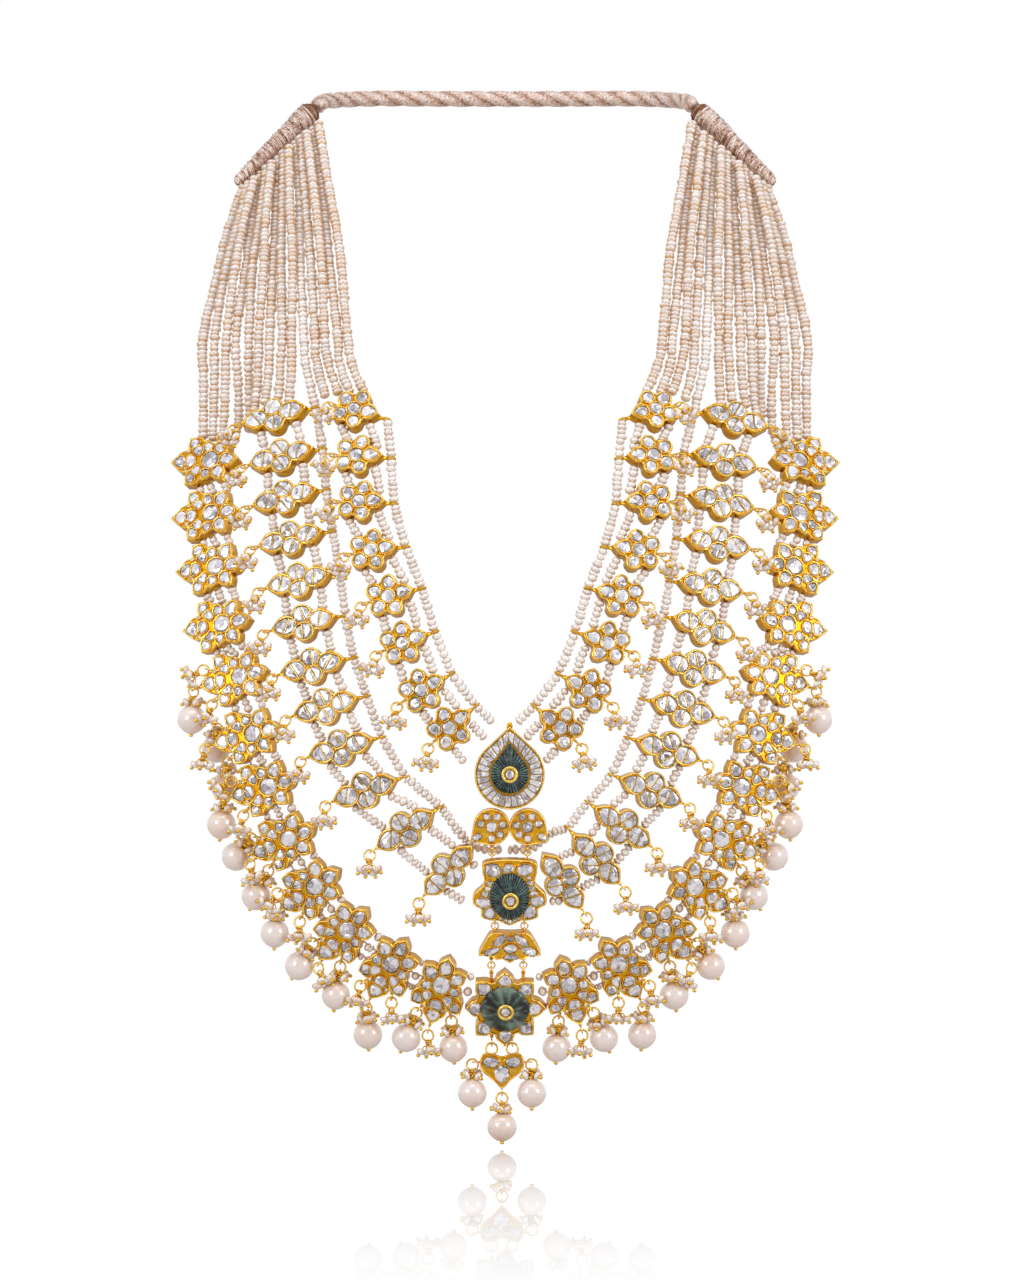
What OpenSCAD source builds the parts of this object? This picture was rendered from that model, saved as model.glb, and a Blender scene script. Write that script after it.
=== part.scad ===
/* [Chest form] */
// How far the frontmost plates stand in front of the nape
chest_depth = 150; // [140:1:160]
// Curve radius of the chest from side to side
chest_side_r = 170; // [165:1:180]
// Curve radius of the chest from top to bottom
chest_long_r = 180; // [175:1:190]

/* [Pearl strings] */
// Diameter of a string of seed pearls
string_d = 2.8; // [2.4:0.1:2.8]
// Diameter of the thread inside the plates
thread_d = 0.8; // [0.6:0.1:0.9]
// Diameter of the tunnel that the thread runs through
tunnel_d = 1.3; // [1.2:0.1:1.4]
// Depth between the three layers of strands at the wrapped ends
layer_gap = 3.1; // [3.0:0.1:3.4]

/* [Wrapped ends and cord] */
// Diameter of the thread-wound end at its knob
knob_d = 7.2; // [6.8:0.1:7.6]
// Diameter of the wound end at its low corner
wrap_low_d = 4.2; // [4:0.1:4.6]
// Diameter of the cord behind the neck
cord_d = 5; // [4:0.1:5.5]

/* [Gold plates] */
// Thickness of the star plates
plate_t = 4.5; // [4:0.1:4.8]
// Depth of a stone's seat
seat_depth = 1; // [0.8:0.1:1.2]

/* [Rings and drops] */
// Wire diameter of rings and eyes
wire_d = 0.5; // [0.45:0.05:0.55]
// Middle diameter of a drop's ring
ring_d = 3.4; // [3.3:0.1:3.5]
// Middle diameter of an eye that a drop hangs from
eye_d = 2.4; // [2.4:0.05:2.5]
// Wire size of the eyes
eye_wire_d = 0.4; // [0.35:0.05:0.45]
// Diameter of the large pearls
pearl_d = 8.7; // [8.4:0.1:8.8]

/* [Centre pendant] */
// How far right of the star's middle the column above it hangs
column_x = 1.4; // [0.8:0.1:1.4]
// Height of the emeralds above their gold
emerald_proud = 1.6; // [1.2:0.1:2]
// Diameter of the round stone cups on the emeralds
cup_d = 5.2; // [5:0.1:5.4]

/* [Hidden] */

GOLD = "#e0a92e";
PEARL = "#efe0d6";
POLKI = "#d9dade";
EMERALD = "#14502f";
THREAD = "#b08a80";

// Gap between pieces that touch on the real necklace
gap = 0.15;
string_r = string_d / 2;
wire_r = wire_d / 2;
eye_wire_r = eye_wire_d / 2;
ring_r = ring_d / 2;
eye_r = eye_d / 2;
// A ring's top wire sits this far above the wire that it hangs from
hang = wire_r + eye_wire_r + 0.45;
tip_eye_r = string_r + 0.3 + wire_r;
front_z = -201;

// Outer stars on the right: across, up, turn of the outward axis
OUTER = [
    [87.9, -111.6, -4], [87.6, -127.5, -8], [86.1, -143.4, -9], [84.0, -160.5, -11],
    [78.9, -176.1, -14], [75.0, -193.2, -15], [70.2, -208.8, -16], [64.2, -224.4, -24],
    [56.4, -238.5, -34], [46.8, -251.4, -46], [33.6, -261.6, -58], [18.9, -267.8, -74]
];
// Four-petal plates, the right row and the left row mirrored: across, up, turn
MIDDLE_RIGHT = [
    [69.0, -99.0, -15], [65.7, -111.6, -14], [64.8, -123.9, -13], [63.6, -136.5, -10],
    [61.5, -149.4, -11], [59.4, -161.4, -18], [56.4, -173.7, -15], [53.1, -185.7, -15],
    [48.6, -198.0, -18], [43.5, -210.0, -22], [35.1, -220.8, -35], [27.3, -230.4, -47],
    [17.1, -237.0, -55]
];
MIDDLE_LEFT = [
    [69.0, -98.1, -15], [66.9, -110.4, -15], [65.7, -122.7, -15], [63.9, -135.0, -14],
    [61.5, -147.6, -13], [60.0, -160.2, -13], [57.3, -173.1, -14], [53.4, -185.1, -16],
    [48.9, -197.4, -16], [41.7, -210.0, -19], [29.7, -221.7, -33], [16.9, -233.8, -46]
];
// Inner stars on the right: across, up, turn of the pointed petal
INNER = [
    [45.0, -96.3, 192], [44.3, -110.1, 180], [43.5, -123.9, 179], [39.9, -138.6, 170],
    [34.8, -152.3, 163], [30.6, -166.2, 158], [24.9, -180.3, 149], [16.5, -191.4, 139]
];
// Petals, going round: angle, distance of the round part, its radius, reach of the tip
STAR_PETALS = [
    [0, 8.1, 3.7, 13.5], [45, 7.2, 2.9, 10.8], [75, 4.6, 1.9, 7.1], [127.5, 5.2, 2.6, 8.6],
    [180, 5.6, 2.8, 9.2], [232.5, 5.2, 2.5, 8.5], [285, 4.7, 1.7, 7.1], [315, 7.2, 2.8, 10.8]
];
LOZENGE_PETALS = [
    [0, 5.7, 3.4, 10.5], [90, 2.5, 3.3, 5.8], [180, 5.7, 3.4, 10.6], [270, 2.5, 3.3, 5.8]
];
FLOWER_PETALS = [
    [0, 4.6, 2.7, 8.3], [72, 4.2, 2.5, 6.9], [144, 4.4, 2.6, 7.1], [216, 4.4, 2.6, 7.1],
    [288, 4.2, 2.5, 6.9]
];
// Seats of the stones in a star: angle, distance, radius
STAR_SEATS = [
    [0, 10.6, 1.5], [0, 7, 1.6], [38, 5.9, 1.3], [43, 8.6, 1.3], [-38, 5.9, 1.3], [-43, 8.6, 1.3],
    [75, 4.8, 1.1], [-75, 4.8, 1.1], [127.5, 5.4, 1.3], [-127.5, 5.4, 1.3], [180, 6, 1.4]
];
LOZENGE_SEATS = [
    [0, 4.3, 2], [0, 7.4, 1.5], [180, 4.3, 2], [180, 7.4, 1.5],
    [60, 3.4, 1.3], [120, 3.4, 1.3], [240, 3.4, 1.3], [300, 3.4, 1.3]
];
FLOWER_SEATS = [
    [0, 5, 1.6], [72, 4.5, 1.6], [-72, 4.5, 1.6], [144, 4.7, 1.7], [-144, 4.7, 1.7]
];
star_stone_r = 2.5;
flower_stone_r = 2;
// Where the strings run through the plates, measured outward
STAR_RUNS = [4.2, 0.4, -4.2];
LOZENGE_RUNS = [5.3, -6.2];
FLOWER_RUNS = [-3.3, 5.8];

// Where the fourteen strands end: plate row (0 outer, 1 middle, 2 inner), run on its first plate,
// level of the end off the chest
STRAND_ENDS = [
    [0, 4.4, 0], [0, 1, 0], [0, -2.4, 0], [0, -5.6, -2.6], [0, -8.4, -4],
    [1, 6.6, 0], [1, 3.2, 0], [1, -1.4, 0], [1, -4.6, 0],
    [1, -13, 0], [1, -16.3, 0], [2, -7, 0], [2, -3.6, 0], [2, 0.6, 0]
];
// Outer strand where the fan of strands is widest, and the step from strand to strand there
strand_wide = [90.9, -73.5];
strand_wide_pitch = 3.35;

// Pearls on the outer stars: star, angle of the hook, lean, lift off the chest, length, bend
// where the pearl joins its ring
PEARLS = [
    [4, 0, 4, -6, 9.2, 0], [5, 24, 42, -19, 11.2, -32], [5, -29, 30, -16, 10.8, -22],
    [6, 5, 11, -2, 9.2, 0], [7, 24, 50, -14, 9.9, 0], [7, -29, 31, 0, 9.8, 0],
    [8, 10, 6, 4, 9.4, 0], [9, 24, 33, 4, 9.2, 0], [9, -29, 11, 8, 9.8, 0],
    [10, 0, 0, 8, 9.2, 0], [11, 24, 22, 8, 9.2, 0], [11, -29, -2, 8, 9.2, 0]
];
// Clusters on the outer stars: star, angle of the hook, lean, lift off the chest, bend at the ring
CLUSTERS = [
    [4, 24, 62, 20, 30], [4, -29, 8, 20, 25], [5, 0, 6, 8, 0], [6, 24, 58, 20, 48],
    [6, -29, 8, 20, 30], [7, -6, -24, 20, 45], [8, 24, 34, 20, 50], [8, -29, 0, 20, 20],
    [9, -4, -28, 20, 46], [10, 24, 10, 20, 47], [10, -29, 0, 20, 10], [11, 0, -6, 20, 42]
];

function unit(v) = v / norm(v);
function mix(a, b, t) = a + (b - a) * t;
function chest(x, z) =
    -chest_depth + x * x / (2 * chest_side_r) + pow(z - front_z, 2) / (2 * chest_long_r);
function facing(x, z) = unit([x / chest_side_r, -1, (z - front_z) / chest_long_r]);
function heading(x, z, turn) = unit([
    cos(turn), cos(turn) * x / chest_side_r + sin(turn) * (z - front_z) / chest_long_r, sin(turn)
]);
// A row is [across, up, turn]: its axes on the chest, and a point given along them
function axes(row) =
    let (x = heading(row.x, row.y, row.z), z = facing(row.x, row.y)) [x, cross(z, x), z];
function spot(row, p) =
    let (a = axes(row)) [row.x, chest(row.x, row.y), row.y] + a.x * p.x + a.y * p.y + a.z * p.z;

// How far a petal reaches from the plate's centre, at an angle from its own axis
function petal_reach(petal, angle) =
    let (
        off = abs((angle - petal[0] + 540) % 360 - 180), d = petal[1], r = petal[2],
        t = acos(min(1, r / max(r, petal[3] - d))),
        turn_at = atan2(r * sin(t), d + r * cos(t)), side = d * sin(off)
    )
    off <= turn_at ? (d * cos(t) + r) / cos(off - t)
    : off < 90 && side < r ? d * cos(off) + sqrt(r * r - side * side) : 0;
// Round a plate: each petal's tip, its shoulders on both sides and the notch to the next petal
function outline(petals, hub, shoulders) = [
    for (i = [0:len(petals) - 1])
        let (a = petals[i][0], b = i + 1 < len(petals) ? petals[i + 1][0] : 360, n = len(shoulders))
            for (way = [
                a, for (s = shoulders) a + s, (a + b) / 2, for (k = [n - 1:-1:0]) b - shoulders[k]
            ])
                max(hub, max([for (p = petals) petal_reach(p, way)])) * [cos(way), sin(way)]
];
flower_hub = 5;
star_outline = outline(STAR_PETALS, 5.6, [9]);
lozenge_outline = outline(LOZENGE_PETALS, 4.6, [12, 28]);
flower_outline = outline(FLOWER_PETALS, flower_hub, [10, 24]);
centre_outline = outline([for (k = [0:7]) [45 * k, 8.4, 2.9, 12.3]], 9, [8, 16]);

// Height of an outline over its long axis at one place, above or below
function edge_at(shape, u, side) = max([
    for (i = [0:len(shape) - 1])
        let (p = shape[i], q = shape[(i + 1) % len(shape)])
            if ((p.x - u) * (q.x - u) <= 0 && p.x != q.x)
                side * (p.y + (q.y - p.y) * (u - p.x) / (q.x - p.x))
]);
function clear_at(shape, u, side) =
    max([for (k = [-1, -0.5, 0, 0.5, 1])
        edge_at(shape, max(min(u + k * string_r, shape[0].x - 0.1), least_x(shape) + 0.1), side)]) + gap;
function least_x(shape) = min([for (p = shape) p.x]);

// A tube through points: each point is [place, radius], and the way through it where that is given
module tube(path, sides, up = [0, -1, 0]) {
    n = len(path);
    ways = [
        for (i = [0:n - 1])
            len(path[i]) > 2 ? path[i][2]
            : unit(path[min(i + 1, n - 1)][0] - path[max(i - 1, 0)][0])
    ];
    rings = [
        for (i = [0:n - 1])
            let (a = unit(cross(ways[i], up)), b = cross(ways[i], a))
                for (k = [0:sides - 1])
                    path[i][0] + path[i][1] * (a * cos(360 * k / sides) + b * sin(360 * k / sides))
    ];
    walls = [
        for (i = [0:n - 2], k = [0:sides - 1])
            let (p = i * sides + k, q = i * sides + (k + 1) % sides)
                each [[p, p + sides, q], [q, p + sides, q + sides]]
    ];
    polyhedron(rings, concat(
        walls,
        [[for (k = [0:sides - 1]) k]],
        [[for (k = [sides - 1:-1:0]) (n - 1) * sides + k]]
    ));
}

module at(row, p = [0, 0, 0]) {
    a = axes(row);
    o = spot(row, p);
    multmatrix([
        [a.x.x, a.y.x, a.z.x, o.x], [a.x.y, a.y.y, a.z.y, o.y], [a.x.z, a.y.z, a.z.z, o.z]
    ]) children();
}
module on_side(left) {
    if (left) mirror([1, 0, 0]) children();
    else children();
}
// A ring of flattened wire around the z axis
module ring(r, wire) {
    difference() {
        cylinder(r = r + wire, h = 2 * wire, center = true, $fn = 40);
        cylinder(r = r - wire, h = 3 * wire, center = true, $fn = 40);
    }
}
// An eye in the plane of the plate's axis and its face, with its outer wire at reach
module peg_eye(reach, level = 0) {
    translate([reach - eye_r, 0, level]) rotate([90, 0, 0]) ring(eye_r, eye_wire_r);
    translate([reach - eye_d - 1.8, 0, level]) rotate([0, 90, 0]) cylinder(r = 0.4, h = 1.8, $fn = 20);
}
// Clusters hang nearer the front of their plates than pearls do
cluster_level = 1.2;
function peg_reach(edge) = edge + eye_d + 0.4;
// The strings' thread runs just behind the middle of a plate, under the stones' seats
thread_level = -0.5;
// A plate with a seat for each stone and a tunnel for each string
module plate(shape, seats, runs) {
    difference() {
        translate([0, 0, -plate_t / 2]) linear_extrude(plate_t) polygon(shape);
        for (s = seats)
            rotate(s[0]) translate([s[1], 0, plate_t / 2 - seat_depth])
                cylinder(r = s[2], h = seat_depth + 1, $fn = 24);
        for (u = runs)
            translate([u, 0, thread_level]) rotate([90, 0, 0])
                cylinder(d = tunnel_d, h = 40, center = true, $fn = 24);
    }
}
// Upper strands: three layers deep where they leave the wound end, one layer at their widest
function strand_path(i, middle) =
    let (
        t = 0.03 + 0.9 * i / 13,
        top = mix(WRAP_LOW, KNOB, t) + mix(2.2, 3.7, t) * [-0.69, -0.72],
        wide = strand_wide - [strand_wide_pitch * i, 0],
        end = STRAND_ENDS[i],
        row = [OUTER[0], middle[0], INNER[0]][end[0]],
        shape = [star_outline, lozenge_outline, flower_outline][end[0]],
        up = end[0] == 2 ? -1 : 1,
        run = end[1],
        high = run < -11 ? 2.4 : clear_at(shape, run, up),
        foot = spot(row, [run, up * (high + 0.15), end[2] / 2]),
        layer = (i % 3 - 1) * layer_gap
    ) [
        for (s = [0, 0.3, 0.6, 1])
            let (x = mix(top.x, wide.x, s * (1.4 - 0.4 * s)), z = mix(top.y, wide.y, s))
                [[x, chest(x, z), z] + facing(x, z) * layer * (1 - s * s), string_r],
        for (s = [0.4, 0.75, 1])
            let (x = mix(wide.x, foot.x, s * s), z = mix(wide.y, foot.z, s))
                s == 1 ? [foot, string_r, -up * axes(row).y]
                : [on_chest(x, z, end[2] * (s == 0.75 ? 1 : 0.5)), string_r]
    ];
module strands(left) {
    middle = left ? MIDDLE_LEFT : MIDDLE_RIGHT;
    color(PEARL) on_side(left)
        for (i = [0:13]) if (i != 9) tube(strand_path(i, middle), 8);
}

// A string that runs through every plate of a row, thin inside them, and ends at a place.
// Where two plates leave no room for pearls between them, only the thread runs there.
function threaded(rows, shape, run, up, last) =
    let (
        n = len(rows), high = clear_at(shape, run, up), low = clear_at(shape, run, -up),
        into = [for (row = rows) spot(row, [run, up * high, thread_level])],
        out_of = [for (row = rows) spot(row, [run, -up * low, thread_level])],
        ways = [for (row = rows) -up * axes(row).y],
        room = [
            for (j = [0:n - 1])
                let (step = j == n - 1 ? ways[j] : into[j + 1] - out_of[j])
                    j == n - 1 ? len(last) > 0 : step * ways[j] > max(0.9, 0.8 * norm(step))
        ]
    ) concat(
        [[spot(rows[0], [run, 0, thread_level]), thread_d / 2, ways[0]]],
        [for (j = [0:n - 1]) each [
            if (j > 0 && room[j - 1]) [into[j] - 0.25 * ways[j], string_r, ways[j]],
            if (j > 0) [into[j], thread_d / 2, ways[j]],
            [out_of[j], thread_d / 2, ways[j]],
            if (room[j]) [out_of[j] + 0.25 * ways[j], string_r, ways[j]]
        ]],
        [for (p = last) [p, string_r]]
    );
// A string that runs beside a row, through the eye on each plate's inner tip
tip_level = -1.2;
function beside(rows, run, up, first, last) = concat(
    [for (p = first) [p, string_r]],
    [for (row = rows) [spot(row, [run, 0, tip_level]), string_r, -up * axes(row).y]],
    [for (p = last) [p, string_r]]
);
function on_chest(x, z, off = 0) = [x, chest(x, z), z] + facing(x, z) * off;

module outer_strings(left) {
    n = len(OUTER) - 1;
    low = [for (u = STAR_RUNS) clear_at(star_outline, u, -1)];
    // Pearls between the last star and the centre star; no room for any on the outermost string
    stub = [0, 2.2, 1.2];
    color(PEARL) on_side(left)
        for (k = [0:2])
            tube(threaded(OUTER, star_outline, STAR_RUNS[k], 1,
                stub[k] == 0 ? []
                : [spot(OUTER[n], [STAR_RUNS[k], -low[k] - stub[k], thread_level])]), 8);
}
module outer_stars(left) {
    color(GOLD) on_side(left)
        for (j = [0:len(OUTER) - 1])
            at(OUTER[j]) {
                plate(star_outline, concat(STAR_SEATS, [[0, 0, star_stone_r]]), STAR_RUNS);
                for (hook = PEARLS) if (hook[0] == j) rotate(hook[1]) peg_eye(hook_reach(hook[1]));
                for (hook = CLUSTERS)
                    if (hook[0] == j) rotate(hook[1]) peg_eye(hook_reach(hook[1]), cluster_level);
            }
}
function hook_reach(angle) = peg_reach(petal_max(angle));
function petal_max(angle) = max([for (p = STAR_PETALS) petal_reach(p, (angle + 360) % 360)]);
module outer_stones(left) {
    color(POLKI) on_side(left)
        for (row = OUTER) at(row) cut_stone(star_stone_r - 0.12);
}
// A stone with a table and a ring of facets, in its seat
module cut_stone(r) {
    low = plate_t / 2 - seat_depth + 0.12;
    translate([0, 0, low]) gem([for (a = [0:45:359]) r * [cos(a), sin(a)]], seat_depth, 0.5, 0.72);
}
// A solid with an upright girdle and a sloping crown up to a flat table
module gem(shape, girdle, crown, table) {
    n = len(shape);
    points = [
        for (p = shape) [p.x, p.y, 0], for (p = shape) [p.x, p.y, girdle],
        for (p = shape) [p.x * table, p.y * table, girdle + crown]
    ];
    walls = [
        for (level = [0, n], k = [0:n - 1])
            let (p = level + k, q = level + (k + 1) % n) each [[p, p + n, q], [q, p + n, q + n]]
    ];
    polyhedron(points, concat(
        walls, [[for (k = [0:n - 1]) k]], [[for (k = [n - 1:-1:0]) 2 * n + k]]
    ));
}

middle_hook_reach = lozenge_outline[0].x + eye_d;
// Where the tip strings run, just past the plates' tips
middle_tip = -LOZENGE_PETALS[2][3] - tip_eye_r - wire_r + 0.3;
inner_tip = flower_outline[0].x + tip_eye_r + wire_r - 0.3;
module middle_plates(left) {
    rows = left ? MIDDLE_LEFT : MIDDLE_RIGHT;
    color(GOLD) on_side(left)
        for (j = [0:len(rows) - 1])
            at(rows[j]) {
                plate(lozenge_outline, LOZENGE_SEATS, LOZENGE_RUNS);
                peg_eye(middle_hook_reach, cluster_level);
                // The string passes behind the last plate's tip
                if (j < len(rows) - 1)
                    translate([middle_tip, 0, tip_level]) rotate([90, 0, 0])
                        ring(tip_eye_r, wire_r);
            }
}
module middle_strings(left) {
    rows = left ? MIDDLE_LEFT : MIDDLE_RIGHT;
    n = len(rows) - 1;
    outer_run = LOZENGE_RUNS[0];
    inner_run = LOZENGE_RUNS[1];
    end = [inner_run, -clear_at(lozenge_outline, inner_run, -1) - (left ? 2 : 0.3), thread_level];
    first = [for (p = strand_path(9, rows)) p[0]];
    color(PEARL) on_side(left) {
        tube(threaded(rows, lozenge_outline, outer_run, 1, [on_chest(left ? 12.4 : 13.3, -243.2)]), 8);
        tube(threaded(rows, lozenge_outline, inner_run, 1, [spot(rows[n], end)]), 8);
        tube(beside([for (j = [0:n - 1]) rows[j]], middle_tip, 1, [for (i = [0:4]) first[i]],
            [on_chest(13.6, -223.5, -3.2), on_chest(9, -227.6, -4), on_chest(0.2, -228.5, -4)]), 8);
    }
}

module inner_stars(left) {
    color(GOLD) on_side(left)
        for (row = INNER)
            at(row) {
                plate(flower_outline, concat(FLOWER_SEATS, [[0, 0, flower_stone_r]]), FLOWER_RUNS);
                rotate(180) peg_eye(inner_hook_reach, cluster_level);
                translate([inner_tip, 0, tip_level]) rotate([90, 0, 0])
                    ring(tip_eye_r, wire_r);
            }
}
inner_hook_reach = peg_reach(flower_hub + 0.6);
module inner_strings(left) {
    color(PEARL) on_side(left) {
        for (k = [0, 1])
            tube(threaded(INNER, flower_outline, FLOWER_RUNS[k], -1,
                [spot(INNER[len(INNER) - 1], [FLOWER_RUNS[k], k == 0 ? 10.6 : 9.2, thread_level])]), 8);
        tube(beside(INNER, inner_tip, -1, [], [on_chest(3.6, -189.8)]), 8);
    }
}

// A ring that hangs on a peg at the origin, with what it carries below it along -y
module drop_ring() {
    translate([0, hang - ring_r, 0]) ring(ring_r, wire_r);
}
knot_y = hang - ring_d;
cluster_t = 2.2;
cluster_shape = concat(
    [[0.8, 0.1], [1, -1.2]],
    [for (k = [4:-1:-4]) let (r = k % 2 == 0 ? 3.3 : 2.8) [r * sin(18 * k), -1 - r * cos(18 * k)]],
    [[-1, -1.2], [-0.8, 0.1]]
);
module cluster(bend) {
    drop_ring();
    translate([0, knot_y, 0]) rotate([-bend, 0, 0]) translate([0, 0, -cluster_t / 2])
        linear_extrude(cluster_t) polygon(cluster_shape);
}
module pearl_drop(long, bend = 0) {
    drop_ring();
    low = long + knot_y;
    top = pearl_d / 2 + 0.6 - low;
    translate([0, knot_y, 0]) rotate([-bend, 0, 0]) {
        translate([0, top, 0]) rotate([-90, 0, 0]) cylinder(r = 1, h = 0.15 - top, $fn = 24);
        translate([0, top, 0]) rotate([90, 0, 0]) cylinder(r = 2.3, h = 1.6, center = true, $fn = 32);
        translate([0, -low, 0]) sphere(d = pearl_d, $fn = 48);
        translate([0, -low - pearl_d / 2 - 0.3, 0]) sphere(0.7, $fn = 20);
    }
}
// Places a drop at a peg: down the chest, leaning outward, and lifted off it
module hung(row, p, lean, lift) {
    o = spot(row, p);
    a = axes([o.x, o.z, lean]);
    multmatrix([
        [a.x.x, a.y.x, a.z.x, o.x], [a.x.y, a.y.y, a.z.y, o.y], [a.x.z, a.y.z, a.z.z, o.z]
    ]) rotate([-lift, 0, 0]) children();
}
module on_star(hook, level)
    hung(OUTER[hook[0]], hook_reach(hook[1]) * [cos(hook[1]), sin(hook[1]), 0] + [0, 0, level],
        hook[2], hook[3]) children();
module pearl_drops(left) {
    color(PEARL) on_side(left) for (hook = PEARLS) on_star(hook, 0) pearl_drop(hook[4], hook[5]);
}
module outer_clusters(left) {
    color(GOLD) on_side(left)
        for (hook = CLUSTERS) on_star(hook, cluster_level) cluster(hook[4]);
}
module middle_clusters(left) {
    rows = left ? MIDDLE_LEFT : MIDDLE_RIGHT;
    color(GOLD) on_side(left)
        for (row = rows) hung(row, [middle_hook_reach, 0, cluster_level], -8, 20) cluster(41);
}
module inner_clusters(left) {
    color(GOLD) on_side(left)
        for (row = INNER) hung(row, [-inner_hook_reach, 0, cluster_level], 15, 20) cluster(32);
}

// Centre column: each plate's row on the chest
TEARDROP = [column_x, -205.2, 0];
PAISLEY = [column_x, -220.8, 0];
SQUARE = [column_x, -240, 0];
FAN = [column_x, -256.2, 0];
STAR = [0, -274.8, 0];

function pear(r, reach, turn, steps) =
    let (t = acos(r / reach), back = 360 - 2 * t) concat(
        [reach * [cos(turn), sin(turn)]],
        [for (k = [0:steps]) let (a = turn + t + back * k / steps) r * [cos(a), sin(a)]]
    );
function grown(shape, by) = [for (p = shape) p * (1 + by / norm(p))];
function oval(a, b, steps) = [for (k = [0:steps - 1]) [a * cos(360 * k / steps), b * sin(360 * k / steps)]];

teardrop_stone = pear(5.85, 9.75, 90, 22);
oval_stone = oval(6.0, 7.2, 24);
round_stone = oval(7.3, 7.3, 24);
plate_front = plate_t / 2;

module column_plate(shape) {
    translate([0, 0, -plate_t / 2]) linear_extrude(plate_t) polygon(shape);
}
module stone_seat(shape) {
    translate([0, 0, plate_front - 1.6]) linear_extrude(4) polygon(grown(shape, 0.2));
}
// Where each cup sits on its plate: the oval stone's is below its middle
CUPS = [[TEARDROP, [0, 0]], [SQUARE, [0.2, -2.4]], [STAR, [0.2, -0.3]]];
module emerald(k, shape, shift) {
    color(EMERALD)
        difference() {
            at(CUPS[k][0]) translate([shift.x, shift.y, plate_front - 1.45])
                gem(shape, 1.45 + emerald_proud * 0.45, emerald_proud * 0.55, 0.78);
            at(CUPS[k][0])
                translate([CUPS[k][1].x, CUPS[k][1].y, plate_front + emerald_proud - 0.8])
                    cylinder(d = cup_d + 0.3, h = 3, $fn = 40);
        }
}
module cup(row, place) {
    at(row) translate([place.x, place.y, plate_front + emerald_proud - 0.68])
        difference() {
            cylinder(d = cup_d, h = 1.5, $fn = 40);
            translate([0, 0, 0.7]) cylinder(d = cup_d - 1.9, h = 2, $fn = 40);
        }
}
// Eyes of two plates and the ring that links them, at a place between them
LINKS = [[5.3, -228.5], [4.4, -250.6], [4.8, -262.4]];
link_r = 1.05;
link_wire = 0.2;
link_eye_r = 0.65;
function link_row(k, side) =
    [mix(k == 2 ? 0 : column_x, column_x, 0.5) + side * LINKS[k].x, LINKS[k].y, 0];
module link_eye(k, up, long) {
    for (side = [-1, 1])
        at(link_row(k, side)) {
            translate([0, up * link_r, 0]) rotate([0, 90, 0]) ring(link_eye_r, link_wire);
            translate([0, up * (link_r + link_eye_r), 0]) rotate([-90 * up, 0, 0])
                cylinder(r = 0.35, h = long, $fn = 20);
        }
}
module column_links() {
    color(GOLD)
        for (k = [0:2], side = [-1, 1]) at(link_row(k, side)) ring(link_r, link_wire);
}
module teardrop_plate() {
    shape = pear(10.5, 14.4, 90, 30);
    color(GOLD) {
        at(TEARDROP) difference() {
            column_plate(shape);
            stone_seat(teardrop_stone);
        }
        at(TEARDROP) translate([0, 14.4, 0]) sphere(1.2, $fn = 24);
    }
}
module paisley_pair() {
    color(GOLD) {
        at(PAISLEY) difference() {
            for (side = [-1, 1])
                translate([side * 5.4, 0, 0])
                    column_plate(pear(5.5, 7.7, side > 0 ? -35 : 215, 22));
            for (side = [-1, 1]) translate([side * 5.4, 0, plate_front - seat_depth]) {
                cylinder(r = 1.7, h = 3, $fn = 24);
                for (a = [0:5])
                    rotate(a * 51 + (side > 0 ? 16 : -91)) translate([3.5, 0, 0])
                        cylinder(r = 0.9, h = 3, $fn = 20);
            }
        }
        link_eye(0, 1, 2);
    }
}
module square_plate() {
    half = [
        [0, 9.9], [7.4, 9.2], [8.2, 6.5], [7.7, 2.5], [10.6, -0.6], [10.9, -3.8], [8.6, -5.4],
        [8.4, -7.8], [5.6, -8.8], [3.2, -9.0], [0, -10.3]
    ];
    shape = concat(half, [for (i = [9:-1:1]) [-half[i].x, half[i].y]]);
    color(GOLD) {
        at(SQUARE) difference() {
            column_plate(shape);
            translate([0, -1.3, 0]) stone_seat(oval_stone);
            for (x = [-5.2, 0, 5.2]) translate([x, 7.6, plate_front - seat_depth])
                cylinder(r = 1.1, h = 3, $fn = 20);
        }
        link_eye(0, -1, 2);
        link_eye(1, 1, 2);
    }
}
module half_flower() {
    half = [
        [0, 4.2], [5.2, 4.2], [7.4, 1.6], [9.3, -2.8], [6.2, -2.9], [4, -4.3], [2.2, -4], [0, -5.2]
    ];
    shape = concat(half, [for (i = [6:-1:1]) [-half[i].x, half[i].y]]);
    color(GOLD) {
        at(FAN) difference() {
            column_plate(shape);
            for (k = [-2:2]) rotate(33 * k) translate([0, -3.1 + abs(k) * 0.1, 0])
                translate([0, 0, plate_front - seat_depth]) cylinder(r = 0.8, h = 3, $fn = 20);
            translate([0, 1.8, plate_front - seat_depth]) cylinder(r = 1.6, h = 3, $fn = 24);
        }
        link_eye(1, -1, 2);
        link_eye(2, 1, 2);
    }
}
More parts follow.
